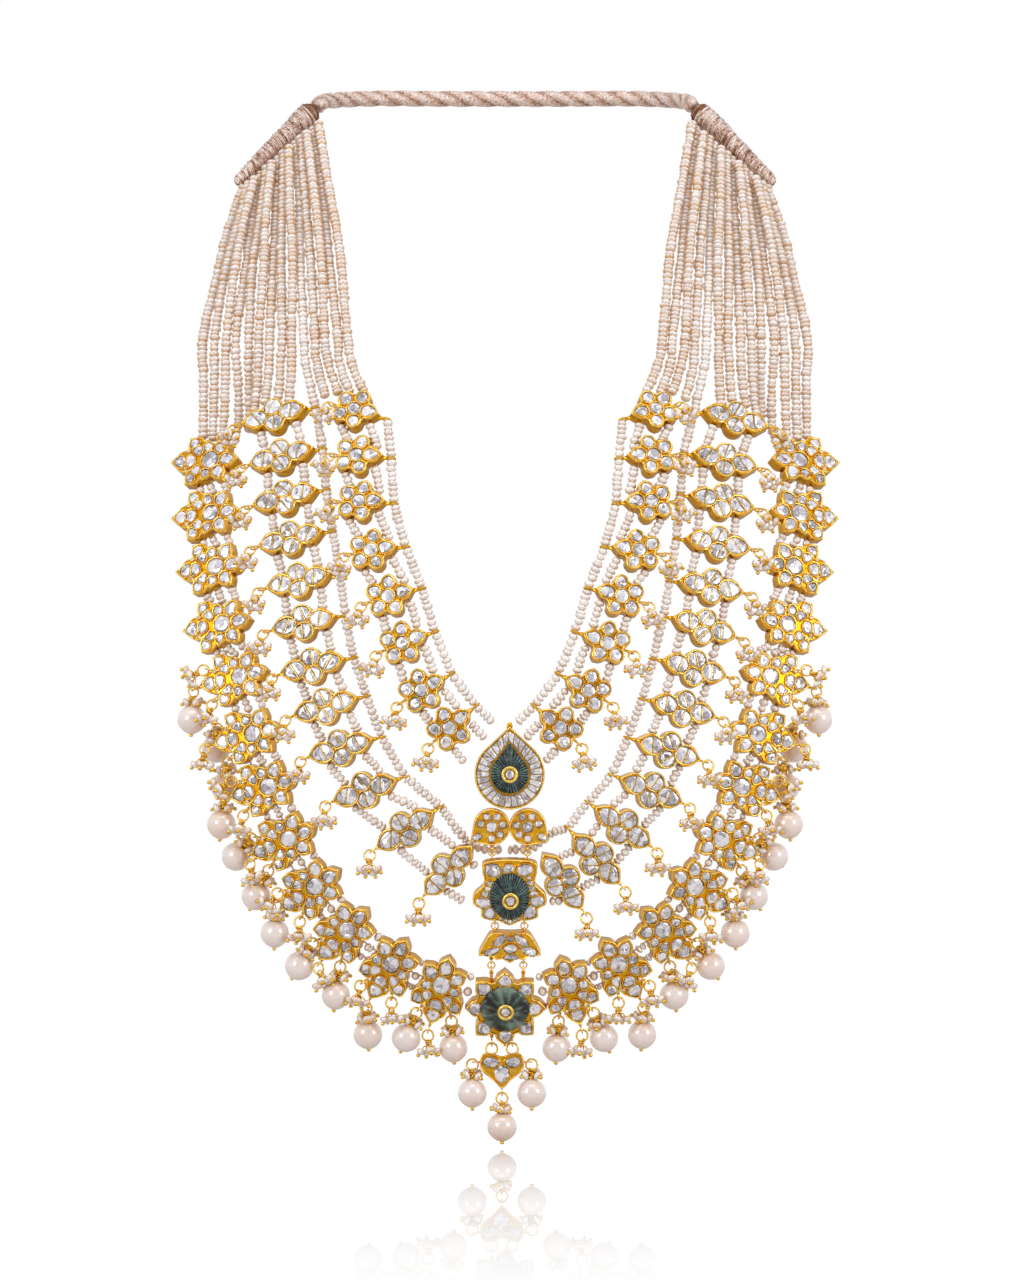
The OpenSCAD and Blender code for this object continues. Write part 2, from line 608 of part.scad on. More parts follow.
// The drop hangs from two pegs under the star
drop_x = -0.9;
drop_half = 3.1;
axis_z = -285.9;
axis_y = chest(0, axis_z);
peg_z = axis_z - hang;
module centre_star() {
    color(GOLD) {
        at(STAR) difference() {
            column_plate(centre_outline);
            stone_seat(round_stone);
            for (k = [0:7]) rotate(45 * k) translate([9.6, 0, plate_front - seat_depth])
                cylinder(r = 1.1, h = 3, $fn = 20);
        }
        link_eye(2, -1, 4);
        for (side = [-1, 1])
            translate([drop_x + side * drop_half, axis_y, peg_z + eye_r]) {
                rotate([0, 90, 0]) ring(eye_r, eye_wire_r);
                translate([0, 0, eye_r]) cylinder(r = 0.45, h = 3, $fn = 20);
            }
    }
}
drop_mid_z = peg_z + hang - ring_r - ring_r - 4.2;
module drop_plate() {
    half = [[0, 3.7], [3.1, 4.6], [5.6, 4.4], [6.6, 2.2], [6.1, -0.7], [2.6, -3.7], [0, -6]];
    shape = concat(half, [for (i = [5:-1:1]) [-half[i].x, half[i].y]]);
    color(GOLD)
        translate([drop_x, axis_y, drop_mid_z]) {
            rotate([90, 0, 0]) {
                difference() {
                    translate([0, 0, -1.75]) linear_extrude(3.5) polygon(shape);
                    for (s = [[-3, 1.6, 1.9], [3, 1.6, 1.9], [0, -2.6, 1.4]])
                        translate([s[0], s[1], 1.75 - seat_depth])
                            cylinder(r = s[2], h = 3, $fn = 24);
                }
                for (p = DROP_PEGS) translate([p.x, p.y, 0]) rotate(p.z) peg_eye(0);
            }
            for (side = [-1, 1])
                translate([side * drop_half, 0, axis_z - ring_r - drop_mid_z])
                    rotate([90, 0, 0]) ring(ring_r, wire_r);
        }
}
// Pegs for the three pearls: across, up, way that the eye points
DROP_PEGS = [[-8.9, 1.9, 180], [8.9, 1.9, 0], [0, -8.2, -90]];
module drop_pearls() {
    color(PEARL)
        translate([drop_x, axis_y, drop_mid_z]) rotate([90, 0, 0])
            for (p = DROP_PEGS) translate([p.x, p.y, 0]) pearl_drop(9.4);
}

// Thread-wound ends and the cord round the nape
KNOB = [57.6, -3.6];
WRAP_LOW = [81.6, -26.6];
module end_wrap(left) {
    path = [
        for (t = [0, 0.08, 0.3, 0.6, 0.9, 1])
            let (x = mix(WRAP_LOW.x, KNOB.x, t), z = mix(WRAP_LOW.y, KNOB.y, t),
                r = t == 0 ? 1.4 : mix(wrap_low_d, knob_d, min(1, t / 0.8)) / 2)
                [[x, chest(x, z), z], t == 1 ? r * 0.55 : r]
    ];
    color(THREAD) on_side(left) tube(path, 12);
}
// The cord starts just clear of the knob and in line with it
KNOB_WAY = unit(on_chest(KNOB.x, KNOB.y) - on_chest(60, -5.9));
NAPE = [
    on_chest(KNOB.x, KNOB.y) + 0.35 * KNOB_WAY, [56.4, -30.2, -2.3], [55.3, -24, -1.4],
    [51.5, -17, -0.8], [45, -10, -0.3], [36, -4.5, 0], [25, -0.6, 0], [13, 1.8, 0], [0, 2.5, 0]
];
module neck_cord() {
    n = len(NAPE) - 1;
    color(THREAD) tube([
        for (i = [-n:n])
            let (p = NAPE[n - abs(i)], place = [sign(i) * p.x, p.y, p.z])
                abs(i) < n ? [place, cord_d / 2]
                : [place, cord_d * 0.4, [-KNOB_WAY.x, -sign(i) * KNOB_WAY.y, -sign(i) * KNOB_WAY.z]]
    ], 12, [0, 0, 1]);
}

neck_cord();
end_wrap(true);  // end_wrap_left
end_wrap(false);  // end_wrap_right
strands(true);  // strands_left
strands(false);  // strands_right
outer_stars(true);  // outer_stars_left
outer_stars(false);  // outer_stars_right
outer_strings(true);  // outer_strings_left
outer_strings(false);  // outer_strings_right
middle_plates(true);  // middle_plates_left
middle_plates(false);  // middle_plates_right
middle_strings(true);  // middle_strings_left
middle_strings(false);  // middle_strings_right
inner_stars(true);  // inner_stars_left
inner_stars(false);  // inner_stars_right
inner_strings(true);  // inner_strings_left
inner_strings(false);  // inner_strings_right
outer_stones(true);  // outer_stones_left
outer_stones(false);  // outer_stones_right
pearl_drops(true);  // pearl_drops_left
pearl_drops(false);  // pearl_drops_right
outer_clusters(true);  // outer_clusters_left
outer_clusters(false);  // outer_clusters_right
middle_clusters(true);  // middle_clusters_left
middle_clusters(false);  // middle_clusters_right
inner_clusters(true);  // inner_clusters_left
inner_clusters(false);  // inner_clusters_right
teardrop_plate();
emerald(0, teardrop_stone, [0, 0]);  // teardrop_emerald
paisley_pair();
square_plate();
emerald(1, oval_stone, [0, -1.3]);  // oval_emerald
half_flower();
centre_star();
emerald(2, round_stone, [0, 0]);  // round_emerald
color(GOLD) for (c = CUPS) cup(c[0], c[1]);  // stone_cups
column_links();
drop_plate();
drop_pearls();
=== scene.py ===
import math
import bpy
import numpy as np
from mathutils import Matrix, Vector


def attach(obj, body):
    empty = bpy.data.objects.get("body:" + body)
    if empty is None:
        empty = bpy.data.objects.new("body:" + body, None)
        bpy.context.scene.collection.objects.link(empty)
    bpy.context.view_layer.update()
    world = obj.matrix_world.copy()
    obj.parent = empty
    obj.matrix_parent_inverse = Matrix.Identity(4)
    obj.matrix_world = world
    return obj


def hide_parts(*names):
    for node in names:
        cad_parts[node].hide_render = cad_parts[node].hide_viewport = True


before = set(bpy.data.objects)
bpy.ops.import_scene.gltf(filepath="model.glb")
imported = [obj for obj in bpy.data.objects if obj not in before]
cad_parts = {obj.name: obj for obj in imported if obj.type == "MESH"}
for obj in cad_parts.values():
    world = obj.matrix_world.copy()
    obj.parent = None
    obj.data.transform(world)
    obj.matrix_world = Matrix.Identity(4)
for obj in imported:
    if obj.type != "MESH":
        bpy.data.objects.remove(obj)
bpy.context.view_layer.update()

# Sizes in mm, as in the part's source
STRING_R, PLATE_T = 1.4, 4.5
WIRE_R, EYE_WIRE_R, RING_R, EYE_R, PEARL_R = 0.25, 0.2, 1.7, 1.2, 4.35
# Between a string's end and a plate
GAP = 0.15
# A drop's ring, from the middle of its eye: up to its top, and down to its foot, where the knot is
HANG = WIRE_R + EYE_WIRE_R + 0.45
KNOT_Y = HANG - 2 * RING_R
# Heights over the middle of a plate: eyes for clusters, collars at the tips, the strings' thread
CLUSTER_LEVEL, TIP_LEVEL, THREAD_LEVEL = 1.2, -1.2, -0.5
TIP_EYE_R = STRING_R + 0.3 + WIRE_R
# Between the layers that the strands lie in
LAYER_GAP = 3.1
# The chest under the necklace: depth in front of the nape, radii across and along, height of its front
CHEST_DEPTH, CHEST_SIDE_R, CHEST_LONG_R, FRONT_Z = 150, 170, 180, -201

# Finer sizes that only the scene has: silk inside the strings, wire of hooks, drops' rings and links
SILK_R, HOOK_WIRE_R, DROP_WIRE_R, LINK_WIRE_R = 0.3, 0.24, 0.29, 0.22

# Each plate: across, up, turn of its outward axis
OUTER = [
    [87.9, -111.6, -4], [87.6, -127.5, -8], [86.1, -143.4, -9], [84.0, -160.5, -11],
    [78.9, -176.1, -14], [75.0, -193.2, -15], [70.2, -208.8, -16], [64.2, -224.4, -24],
    [56.4, -238.5, -34], [46.8, -251.4, -46], [33.6, -261.6, -58], [18.9, -267.8, -74]]
MIDDLE_RIGHT = [
    [69.0, -99.0, -15], [65.7, -111.6, -14], [64.8, -123.9, -13], [63.6, -136.5, -10],
    [61.5, -149.4, -11], [59.4, -161.4, -18], [56.4, -173.7, -15], [53.1, -185.7, -15],
    [48.6, -198.0, -18], [43.5, -210.0, -22], [35.1, -220.8, -35], [27.3, -230.4, -47],
    [17.1, -237.0, -55]]
MIDDLE_LEFT = [
    [69.0, -98.1, -15], [66.9, -110.4, -15], [65.7, -122.7, -15], [63.9, -135.0, -14],
    [61.5, -147.6, -13], [60.0, -160.2, -13], [57.3, -173.1, -14], [53.4, -185.1, -16],
    [48.9, -197.4, -16], [41.7, -210.0, -19], [29.7, -221.7, -33], [16.9, -233.8, -46]]
INNER = [
    [45.0, -96.3, 192], [44.3, -110.1, 180], [43.5, -123.9, 179], [39.9, -138.6, 170],
    [34.8, -152.3, 163], [30.6, -166.2, 158], [24.9, -180.3, 149], [16.5, -191.4, 139]]

# Petals: angle, distance of the round part, its radius, reach of the tip
STAR_PETALS = [
    [0, 8.1, 3.7, 13.5], [45, 7.2, 2.9, 10.8], [75, 4.6, 1.9, 7.1], [127.5, 5.2, 2.6, 8.6],
    [180, 5.6, 2.8, 9.2], [232.5, 5.2, 2.5, 8.5], [285, 4.7, 1.7, 7.1], [315, 7.2, 2.8, 10.8]]
LOZENGE_PETALS = [[0, 5.7, 3.4, 10.5], [90, 2.5, 3.3, 5.8], [180, 5.7, 3.4, 10.6], [270, 2.5, 3.3, 5.8]]
FLOWER_PETALS = [
    [0, 4.6, 2.7, 8.3], [72, 4.2, 2.5, 6.9], [144, 4.4, 2.6, 7.1], [216, 4.4, 2.6, 7.1], [288, 4.2, 2.5, 6.9]]
# The round middle that a plate's petals stand on
STAR_HUB, LOZENGE_HUB, FLOWER_HUB = 5.6, 4.6, 5.0
CENTRE_PETALS = [[45 * k, 8.4, 2.9, 12.3] for k in range(8)]
# How far out on a plate each string of its row crosses it
STAR_RUNS, LOZENGE_RUNS, FLOWER_RUNS = [4.2, 0.4, -4.2], [5.3, -6.2], [-3.3, 5.8]

# Stones of a plate: angle, distance, half length outward, half width, how pointed its outer end is
STAR_STONES = [
    [0, 0, 2.55, 2.4, 0], [0, 10.1, 1.9, 2.1, 0.35], [0, 6.5, 1.4, 2.3, 0], [21, 8.3, 0.62, 0.6, 0],
    [-20, 8.3, 0.62, 0.6, 0], [35, 5.6, 1.6, 1.6, 0], [44, 8.3, 1.6, 1.6, 0.2], [-34, 5.6, 1.6, 1.6, 0],
    [-43, 8.3, 1.6, 1.6, 0.2], [76, 4.7, 1.6, 1.4, 0.3], [-76, 4.7, 1.5, 1.35, 0.3],
    [127.5, 5.3, 2.1, 1.8, 0.4], [-127.5, 5.2, 2.0, 1.75, 0.4], [180, 5.7, 2.3, 1.8, 0.4]]
FLOWER_STONES = [
    [0, 0, 2.0, 1.9, 0], [0, 4.8, 2.4, 1.85, 0.5], [72, 4.4, 1.9, 1.7, 0.4], [-72, 4.4, 1.9, 1.7, 0.4],
    [144, 4.5, 2.0, 1.8, 0.3], [-144, 4.5, 2.0, 1.8, 0.3]]
LOZENGE_STONES = [
    [0, 5.6, 3.3, 2.5, 0.35], [180, 5.5, 3.2, 2.5, 0.35], [90, 2.85, 2.3, 2.7, 0.1], [270, 2.85, 2.3, 2.7, 0.1]]

# Where a strand ends: row (outer, middle, inner), place across its first plate, distance off the chest
STRAND_ENDS = [
    [0, 4.4, 0], [0, 1, 0], [0, -2.4, 0], [0, -5.6, -2.6], [0, -8.4, -4], [1, 6.6, 0], [1, 3.2, 0],
    [1, -1.4, 0], [1, -4.6, 0], [1, -13, 0], [1, -16.3, 0], [2, -7, 0], [2, -3.6, 0], [2, 0.6, 0]]
# The tenth strand becomes the middle row's inner string
INNER_STRAND = 9
# Large pearls: star, angle of its eye, lean, lift off the chest, length, bend under the ring
PEARLS = [
    [4, 0, 4, -6, 9.2, 0], [5, 24, 42, -19, 11.2, -32], [5, -29, 30, -16, 10.8, -22],
    [6, 5, 11, -2, 9.2, 0], [7, 24, 50, -14, 9.9, 0], [7, -29, 31, 0, 9.8, 0],
    [8, 10, 6, 4, 9.4, 0], [9, 24, 33, 4, 9.2, 0], [9, -29, 11, 8, 9.8, 0],
    [10, 0, 0, 8, 9.2, 0], [11, 24, 22, 8, 9.2, 0], [11, -29, -2, 8, 9.2, 0]]
# Clusters: star, angle of its eye, lean, lift off the chest, bend under the ring
CLUSTERS = [
    [4, 24, 62, 20, 30], [4, -29, 8, 20, 25], [5, 0, 6, 8, 0], [6, 24, 58, 20, 48],
    [6, -29, 8, 20, 30], [7, -6, -24, 20, 45], [8, 24, 34, 20, 50], [8, -29, 0, 20, 20],
    [9, -4, -28, 20, 46], [10, 24, 10, 20, 47], [10, -29, 0, 20, 10], [11, 0, -6, 20, 42]]

# The two ends of the right wound end: across, up
KNOB, WRAP_LOW = np.array([57.6, -3.6]), np.array([81.6, -26.6])
# The cord's way from there to the nape: across, back, up
NAPE = [
    [56.4, -30.2, -2.3], [55.3, -24, -1.4], [51.5, -17, -0.8], [45, -10, -0.3], [36, -4.5, 0], [25, -0.6, 0],
    [13, 1.8, 0]]

# The centre column, top to bottom
COLUMN_X = 1.4
TEARDROP, PAISLEY, FRAME, FAN = [[COLUMN_X, up, 0] for up in (-205.2, -220.8, -240, -256.2)]
CENTRE = [0, -274.8, 0]
# Gold cups on the emeralds: plate, place on it
CUPS = [[TEARDROP, [0, 0]], [FRAME, [0.2, -2.4]], [CENTRE, [0.2, -0.3]]]
# Pairs of links between the plates: middle, half the distance between them, height
LINKS = [[COLUMN_X, 5.3, -228.5], [COLUMN_X, 4.4, -250.6], [COLUMN_X / 2, 4.8, -262.4]]
LINK_R, LINK_EYE_R = 1.05, 0.65
# Right halves of outlines, from the top down
FRAME_HALF = [
    [0, 9.9], [7.4, 9.2], [8.2, 6.5], [7.7, 2.5], [10.6, -0.6], [10.9, -3.8], [8.6, -5.4], [8.4, -7.8],
    [5.6, -8.8], [3.2, -9.0], [0, -10.3]]
FAN_HALF = [[0, 4.2], [5.2, 4.2], [7.4, 1.6], [9.3, -2.8], [6.2, -2.9], [4, -4.3], [2.2, -4], [0, -5.2]]
DROP_HALF = [[0, 3.7], [3.1, 4.6], [5.6, 4.4], [6.6, 2.2], [6.1, -0.7], [2.6, -3.7], [0, -6]]
# Stones: across, up, half sizes, turn, how pointed
FRAME_STONES = [
    [-4.9, 6.7, 2.2, 1.6, -8, 0], [-0.5, 7.2, 1.85, 1.0, 12, 0.1], [4.6, 6.7, 2.0, 1.45, 4, 0],
    [-5.95, 2.5, 0.72, 0.7, 0, 0], [-6.55, 0.95, 0.75, 0.72, 0, 0], [-7.3, -0.75, 0.92, 0.85, 0, 0],
    [5.75, 4.35, 0.6, 0.55, 0, 0], [6.05, 2.75, 0.78, 0.72, 0, 0], [6.65, 1.15, 0.82, 0.76, 0, 0],
    [7.35, -0.45, 1.0, 0.8, 0, 0], [-8.1, -3.5, 2.1, 1.25, 4, 0], [8.2, -2.7, 1.9, 1.35, -4, 0],
    [-6.1, -6.75, 1.35, 1.6, 0, 0], [6.2, -6.4, 1.95, 1.6, 48, 0],
    [-2.6, -8.35, 0.6, 0.55, 0, 0], [-1.35, -9.0, 0.65, 0.6, 0, 0], [0.05, -9.3, 0.68, 0.62, 0, 0],
    [1.45, -9.0, 0.65, 0.6, 0, 0], [2.75, -8.35, 0.6, 0.55, 0, 0]]
FAN_STONES = [
    [-2.95, 1.85, 2.65, 1.3, 44, 0.2], [3.45, 1.8, 2.75, 1.35, -40, 0.2], [0.25, 2.35, 0.75, 1.35, 90, 0],
    [0.25, -0.75, 2.1, 1.35, 0, 0], [0.25, -3.35, 2.4, 0.85, 0, 0], [-5.3, -1.5, 2.5, 1.2, 20, 0.1],
    [5.75, -1.45, 2.5, 1.35, -22, 0.1]]
DROP_STONES = [[-3.2, 1.75, 2.35, 1.25, -8, 0], [3.2, 1.75, 2.35, 1.25, 8, 0], [0, -1.75, 2.35, 2.1, -90, 0.35]]
# The last drop: middle of its two rings, half the distance between them, height that it swings about
DROP_X, DROP_SIDE, AXIS_Z = -0.9, 3.1, -285.9
# Its hooks for the pearls: across, up, turn
DROP_PEGS = [[-8.9, 1.9, 180], [8.9, 1.9, 0], [0, -8.2, -90]]


def unit(v):
    v = np.asarray(v, float)
    return v / np.linalg.norm(v)


def mix(a, b, t):
    return a + (b - a) * t


def cosd(a):
    return np.cos(np.radians(a))


def sind(a):
    return np.sin(np.radians(a))


def steps_round(count):
    """Even steps round a circle, in degrees."""
    return np.arange(count) * 360 / count


def chest(x, z):
    return -CHEST_DEPTH + x * x / (2 * CHEST_SIDE_R) + (z - FRONT_Z) ** 2 / (2 * CHEST_LONG_R)


def facing(x, z):
    return unit([x / CHEST_SIDE_R, -1, (z - FRONT_Z) / CHEST_LONG_R])


def on_chest(x, z, off=0):
    return np.array([x, chest(x, z), z]) + facing(x, z) * off


def axes(row):
    """Rows of the matrix are the plate's outward axis, its cross axis and the way it faces."""
    x, z, turn = row
    rise = cosd(turn) * x / CHEST_SIDE_R + sind(turn) * (z - FRONT_Z) / CHEST_LONG_R
    out = unit([cosd(turn), rise, sind(turn)])
    front = facing(x, z)
    return np.array([out, np.cross(front, out), front])


class Place:
    """Where a small shape sits: points along its own axes become points of the necklace."""

    def __init__(self, origin, turn):
        self.origin, self.turn = np.asarray(origin, float), np.asarray(turn, float)

    def __call__(self, points):
        return self.origin + np.atleast_2d(np.asarray(points, float)) @ self.turn

    def spot(self, *p):
        return self(p)[0]

    def moved(self, p, about_x=0, about_z=0):
        cx, sx, cz, sz = cosd(about_x), sind(about_x), cosd(about_z), sind(about_z)
        rx = np.array([[1, 0, 0], [0, cx, sx], [0, -sx, cx]])
        rz = np.array([[cz, sz, 0], [-sz, cz, 0], [0, 0, 1]])
        return Place(self.spot(*p), rx @ rz @ self.turn)


def plate_place(row):
    return Place(on_chest(row[0], row[1]), axes(row))


def plate_spot(row, p):
    return plate_place(row).spot(*p)


def hung(at, lean, lift):
    """A drop's own axes: down the chest from the eye that it hangs from."""
    turn = axes([at[0], at[2], lean])
    return Place(at, turn).moved([0, 0, 0], about_x=-lift)


# Meshes

class Heap:
    """Gathers many small shapes, in millimetres, into one mesh."""

    def __init__(self):
        self.points, self.quads, self.tris, self.tone, self.count = [], [], [], [], 0

    def add(self, points, quads=(), tris=(), tone=0.5):
        points = np.asarray(points, float).reshape(-1, 3)
        if len(quads):
            self.quads.append(np.asarray(quads).reshape(-1, 4) + self.count)
        if len(tris):
            self.tris.append(np.asarray(tris).reshape(-1, 3) + self.count)
        self.points.append(points)
        self.tone.append(np.broadcast_to(np.asarray(tone, float), len(points)))
        self.count += len(points)

    def loft(self, rings, tone=0.5, start=True, end=True, middle=None):
        """Skins closed rings of points, back to front, and closes the ends with fans."""
        m, n = len(rings), len(rings[0])
        tone = [tone] * m if np.isscalar(tone) else list(tone)
        k, up = np.arange(n), np.arange(m - 1)[:, None] * n
        ahead = (k + 1) % n
        quads = np.stack([up + k, up + ahead, up + n + ahead, up + n + k], -1).reshape(-1, 4)
        points, tones, tris = list(rings), [np.broadcast_to(t, n) for t in tone], []
        if start:
            points.append([np.mean(rings[0], axis=0)])
            tones.append([np.mean(tone[0])])
            tris.append(np.stack([np.full(n, m * n), ahead, k], -1))
        if end:
            points.append([np.mean(rings[-1], axis=0) if middle is None else middle])
            tones.append([np.mean(tone[-1])])
            tris.append(np.stack([np.full(n, m * n + bool(start)), (m - 1) * n + k, (m - 1) * n + ahead], -1))
        self.add(np.concatenate(points), quads, np.concatenate(tris) if tris else (), np.concatenate(tones))

    def many(self, shape, centres, turns, sizes, tones):
        """Copies of one small shape: its points, quads and tris, at each centre, turned and stretched."""
        points, quads, tris, own_tone = shape
        placed = np.einsum("cnk,ckj->cnj", points[None] * np.asarray(sizes)[:, None, :], np.asarray(turns))
        placed += np.asarray(centres)[:, None, :]
        step = (np.arange(len(centres)) * len(points))[:, None, None]
        tone = np.asarray(tones)[:, None] + own_tone[None]
        self.add(placed, quads[None] + step, tris[None] + step, tone.reshape(-1))


def ball_shape(around, rows, power=2.0):
    """A ball of radius one about z; a lower power flattens its shoulders. Its tone is lower at the ends:
    painted shade, which on seeds and pearls is also a warm painted reflection.
    """
    rise = np.linspace(-90, 90, rows + 1)[1:-1]
    level = np.sign(sind(rise)) * np.abs(sind(rise)) ** (2 / power)
    wide = cosd(rise) ** (2 / power)
    turn = steps_round(around)
    rings = np.stack([np.outer(wide, cosd(turn)), np.outer(wide, sind(turn)),
                      np.repeat(level[:, None], around, 1)], -1)
    heap = Heap()
    heap.loft(list(rings))
    points = heap.points[0].copy()
    points[-2], points[-1] = [0, 0, -1], [0, 0, 1]
    tone = np.linalg.norm(points[:, :2], axis=1) - 1
    return points, heap.quads[0], heap.tris[0], tone


SEED, BALL, PEARL = ball_shape(11, 7, 1.8), ball_shape(7, 5), ball_shape(26, 16)
# Large pearls narrow a little towards the foot
PEARL[0][:, :2] *= 1 - 0.13 * np.clip(-PEARL[0][:, 2:], 0, 1) ** 3
# Seeds are darker and warmer at their sides across the string: painted shade and a warm painted reflection from
# the strings that lie beside them
SEED[3][:] -= np.abs(SEED[0][:, 0]) ** 2.5


def upright(way):
    """Axes whose third one is the way given."""
    way = unit(way)
    side = unit(np.cross(way, [0.03, -1, 0.02] if abs(way[1]) < 0.95 else [1, 0, 0]))
    return np.array([side, np.cross(way, side), way])


def ring(heap, place, centre, radius, wire, around=22, sides=7, flat=1.0, tone=0.8, normal="z"):
    """A ring of round wire; its axis is the z axis of its place, or the x or y one."""
    a, b = steps_round(around), steps_round(sides)
    r = radius + wire * cosd(b)[None]
    high = np.broadcast_to(wire * flat * sind(b)[None], (around, sides))
    p = np.stack([r * cosd(a)[:, None], r * sind(a)[:, None], high], -1)
    if normal != "z":
        p = p[..., [1, 2, 0] if normal == "y" else [2, 0, 1]]
    i, k = np.meshgrid(np.arange(around), np.arange(sides), indexing="ij")
    quads = np.stack([i * sides + k, ((i + 1) % around) * sides + k,
                      ((i + 1) % around) * sides + (k + 1) % sides, i * sides + (k + 1) % sides], -1)
    heap.add(place(p.reshape(-1, 3) + centre), quads, tone=tone)


def tube(heap, path, radii, sides=6, tone=0.6, up=(0, -1, 0)):
    """A round rod along a path, closed at its ends."""
    path = np.asarray(path, float)
    radii = np.broadcast_to(radii, len(path))
    way = np.gradient(path, axis=0)
    way /= np.linalg.norm(way, axis=1)[:, None]
    a = np.cross(way, up)
    a /= np.linalg.norm(a, axis=1)[:, None]
    b = np.cross(way, a)
    turn = steps_round(sides)[None, :, None]
    rings = path[:, None] + radii[:, None, None] * (a[:, None] * cosd(turn) + b[:, None] * sind(turn))
    heap.loft(list(rings), tone)


def spline(a, b, c, d, t):
    """Points from b to c on a smooth curve that comes from a and goes on to d."""
    return 0.5 * (2 * b + (c - a) * t + (2 * a - 5 * b + 4 * c - d) * t ** 2
                  + (3 * b - a - 3 * c + d) * t ** 3)


def run_along(path):
    """How far along a path each of its points lies."""
    return np.concatenate([[0], np.cumsum(np.linalg.norm(np.diff(path, axis=0), axis=1))])


def at_run(path, run, where):
    return np.stack([np.interp(where, run, path[:, k]) for k in range(3)], -1)


def smooth_path(points, step=0.5):
    """A smooth curve through points, with even steps."""
    p = np.asarray(points, float)
    if len(p) > 2:
        ends = np.vstack([2 * p[0] - p[1], p, 2 * p[-1] - p[-2]])
        t = np.linspace(0, 1, 12, endpoint=False)[:, None]
        out = []
        for i in range(len(p) - 1):
            out.append(spline(*ends[i:i + 4], t))
        p = np.vstack(out + [p[-1:]])
    run = run_along(p)
    return at_run(p, run, np.linspace(0, run[-1], max(2, int(run[-1] / step) + 1)))


def seeds_along(heap, points, rng, size=1.56, pitch=1.72, tones=(0.85, 1.35)):
    """Seed pearls threaded close together along a path. The default tones are brighter than the strands' and
    lift the strings' seeds out of the plates' shade: painted light.
    """
    path = smooth_path(points, 0.2)
    run = run_along(path)
    count = max(1, int(round(run[-1] / pitch)))
    share = rng.uniform(0.75, 1.3, count)
    share = share / share.sum() * run[-1]
    middle = np.cumsum(share) - share / 2
    centres = at_run(path, run, middle)
    ahead = at_run(path, run, middle + 0.3) - at_run(path, run, middle - 0.3)
    turns = [upright(unit(w) + rng.normal(0, 0.07, 3)) for w in ahead]
    wide = size * rng.uniform(0.84, 1.07, count)
    sizes = np.stack([wide, wide * rng.uniform(0.9, 1.0, count), share * 0.56], -1)
    centres += rng.normal(0, 0.08, (count, 3))
    heap.many(SEED, centres, turns, sizes, rng.uniform(*tones, count))


# Outlines

def petal_reach(petal, angles):
    """How far a petal reaches out from the plate's middle at each angle."""
    at, d, r, reach = petal
    off = np.abs((angles - at + 540) % 360 - 180)
    lean = math.degrees(math.acos(min(1, r / max(r, reach - d))))
    turn_at = math.degrees(math.atan2(r * sind(lean), d + r * cosd(lean)))
    side = d * sind(off)
    straight = (d * cosd(lean) + r) / np.maximum(0.05, cosd(off - lean))
    rounded = d * cosd(off) + np.sqrt(np.maximum(0, r * r - side * side))
    return np.where(off <= turn_at, straight, np.where((off < 90) & (side < r), rounded, 0))


def petal_outline(petals, hub, count, inset=0.0):
    angles = steps_round(count)
    thin = [[a, d, r - inset, reach - inset * (reach - d) / r] for a, d, r, reach in petals]
    r = np.maximum(hub - inset, np.max([petal_reach(p, angles) for p in thin], axis=0))
    return np.stack([r * cosd(angles), r * sind(angles)], -1)


def insets_of(petals, hub, count):
    """Gives a petalled outline at any distance further in."""
    return lambda by: petal_outline(petals, hub, count, by)


def edge_at(shape, u, side):
    """How far an outline reaches up (side 1) or down (side -1) at the place u across it."""
    p, q = shape, np.roll(shape, -1, axis=0)
    hit = ((p[:, 0] - u) * (q[:, 0] - u) <= 0) & (p[:, 0] != q[:, 0])
    p, q = p[hit], q[hit]
    return np.max(side * (p[:, 1] + (q[:, 1] - p[:, 1]) * (u - p[:, 0]) / (q[:, 0] - p[:, 0])))


def clear_at(shape, u, side):
    """How far from a plate's axis a string as wide as its pearls clears the edge."""
    low = shape[:, 0].min() + 0.1
    return max(edge_at(shape, max(min(u + k * STRING_R, shape[0][0] - 0.1), low), side)
               for k in (-1, -0.5, 0, 0.5, 1)) + GAP


def shoulders(petals, hub, offs):
    """The plate's outline as the part's source has it, a few points a petal."""
    angles = []
    for i, p in enumerate(petals):
        a, b = p[0], petals[i + 1][0] if i + 1 < len(petals) else 360
        angles += [a] + [a + s for s in offs] + [(a + b) / 2] + [b - s for s in offs[::-1]]
    angles = np.array(angles, float)
    r = np.maximum(hub, np.max([petal_reach(p, angles) for p in petals], axis=0))
    return np.stack([r * cosd(angles), r * sind(angles)], -1)


STAR = shoulders(STAR_PETALS, STAR_HUB, [9])
LOZENGE = shoulders(LOZENGE_PETALS, LOZENGE_HUB, [12, 28])
FLOWER = shoulders(FLOWER_PETALS, FLOWER_HUB, [10, 24])


def level(points, z):
    """Points of an outline, all at one height."""
    points = np.asarray(points, float)
    return np.column_stack([points, np.full(len(points), z)])


def both_sides(half):
    """A whole outline from its right half."""
    return np.array(half + [[-x, y] for x, y in half[-2:0:-1]], float)[::-1]


def closed_curve(points, each=6):
    """A smooth closed outline through a few corners."""
    p = np.asarray(points, float)
    t = np.linspace(0, 1, each, endpoint=False)[:, None]
    out = []
    for i in range(len(p)):
        out.append(spline(*(p[(i + k) % len(p)] for k in (-1, 0, 1, 2)), t))
    return np.vstack(out)


def inset_outline(shape):
    """Gives an outline at any distance further in, ray by ray from the middle."""
    part = np.linspace(0.45, 1, 56)
    spots = shape[:, None, None, :] * part[None, :, None, None]
    way = np.roll(shape, -1, axis=0) - shape
    t = np.clip(((spots - shape) * way).sum(-1) / np.maximum(1e-9, (way ** 2).sum(-1)), 0, 1)
    room = np.linalg.norm(spots - (shape + t[..., None] * way), axis=-1).min(-1)[:, ::-1]
    room = np.maximum.accumulate(room, axis=1)
    return lambda by: shape * np.array([np.interp(by, r, part[::-1]) for r in room])[:, None]
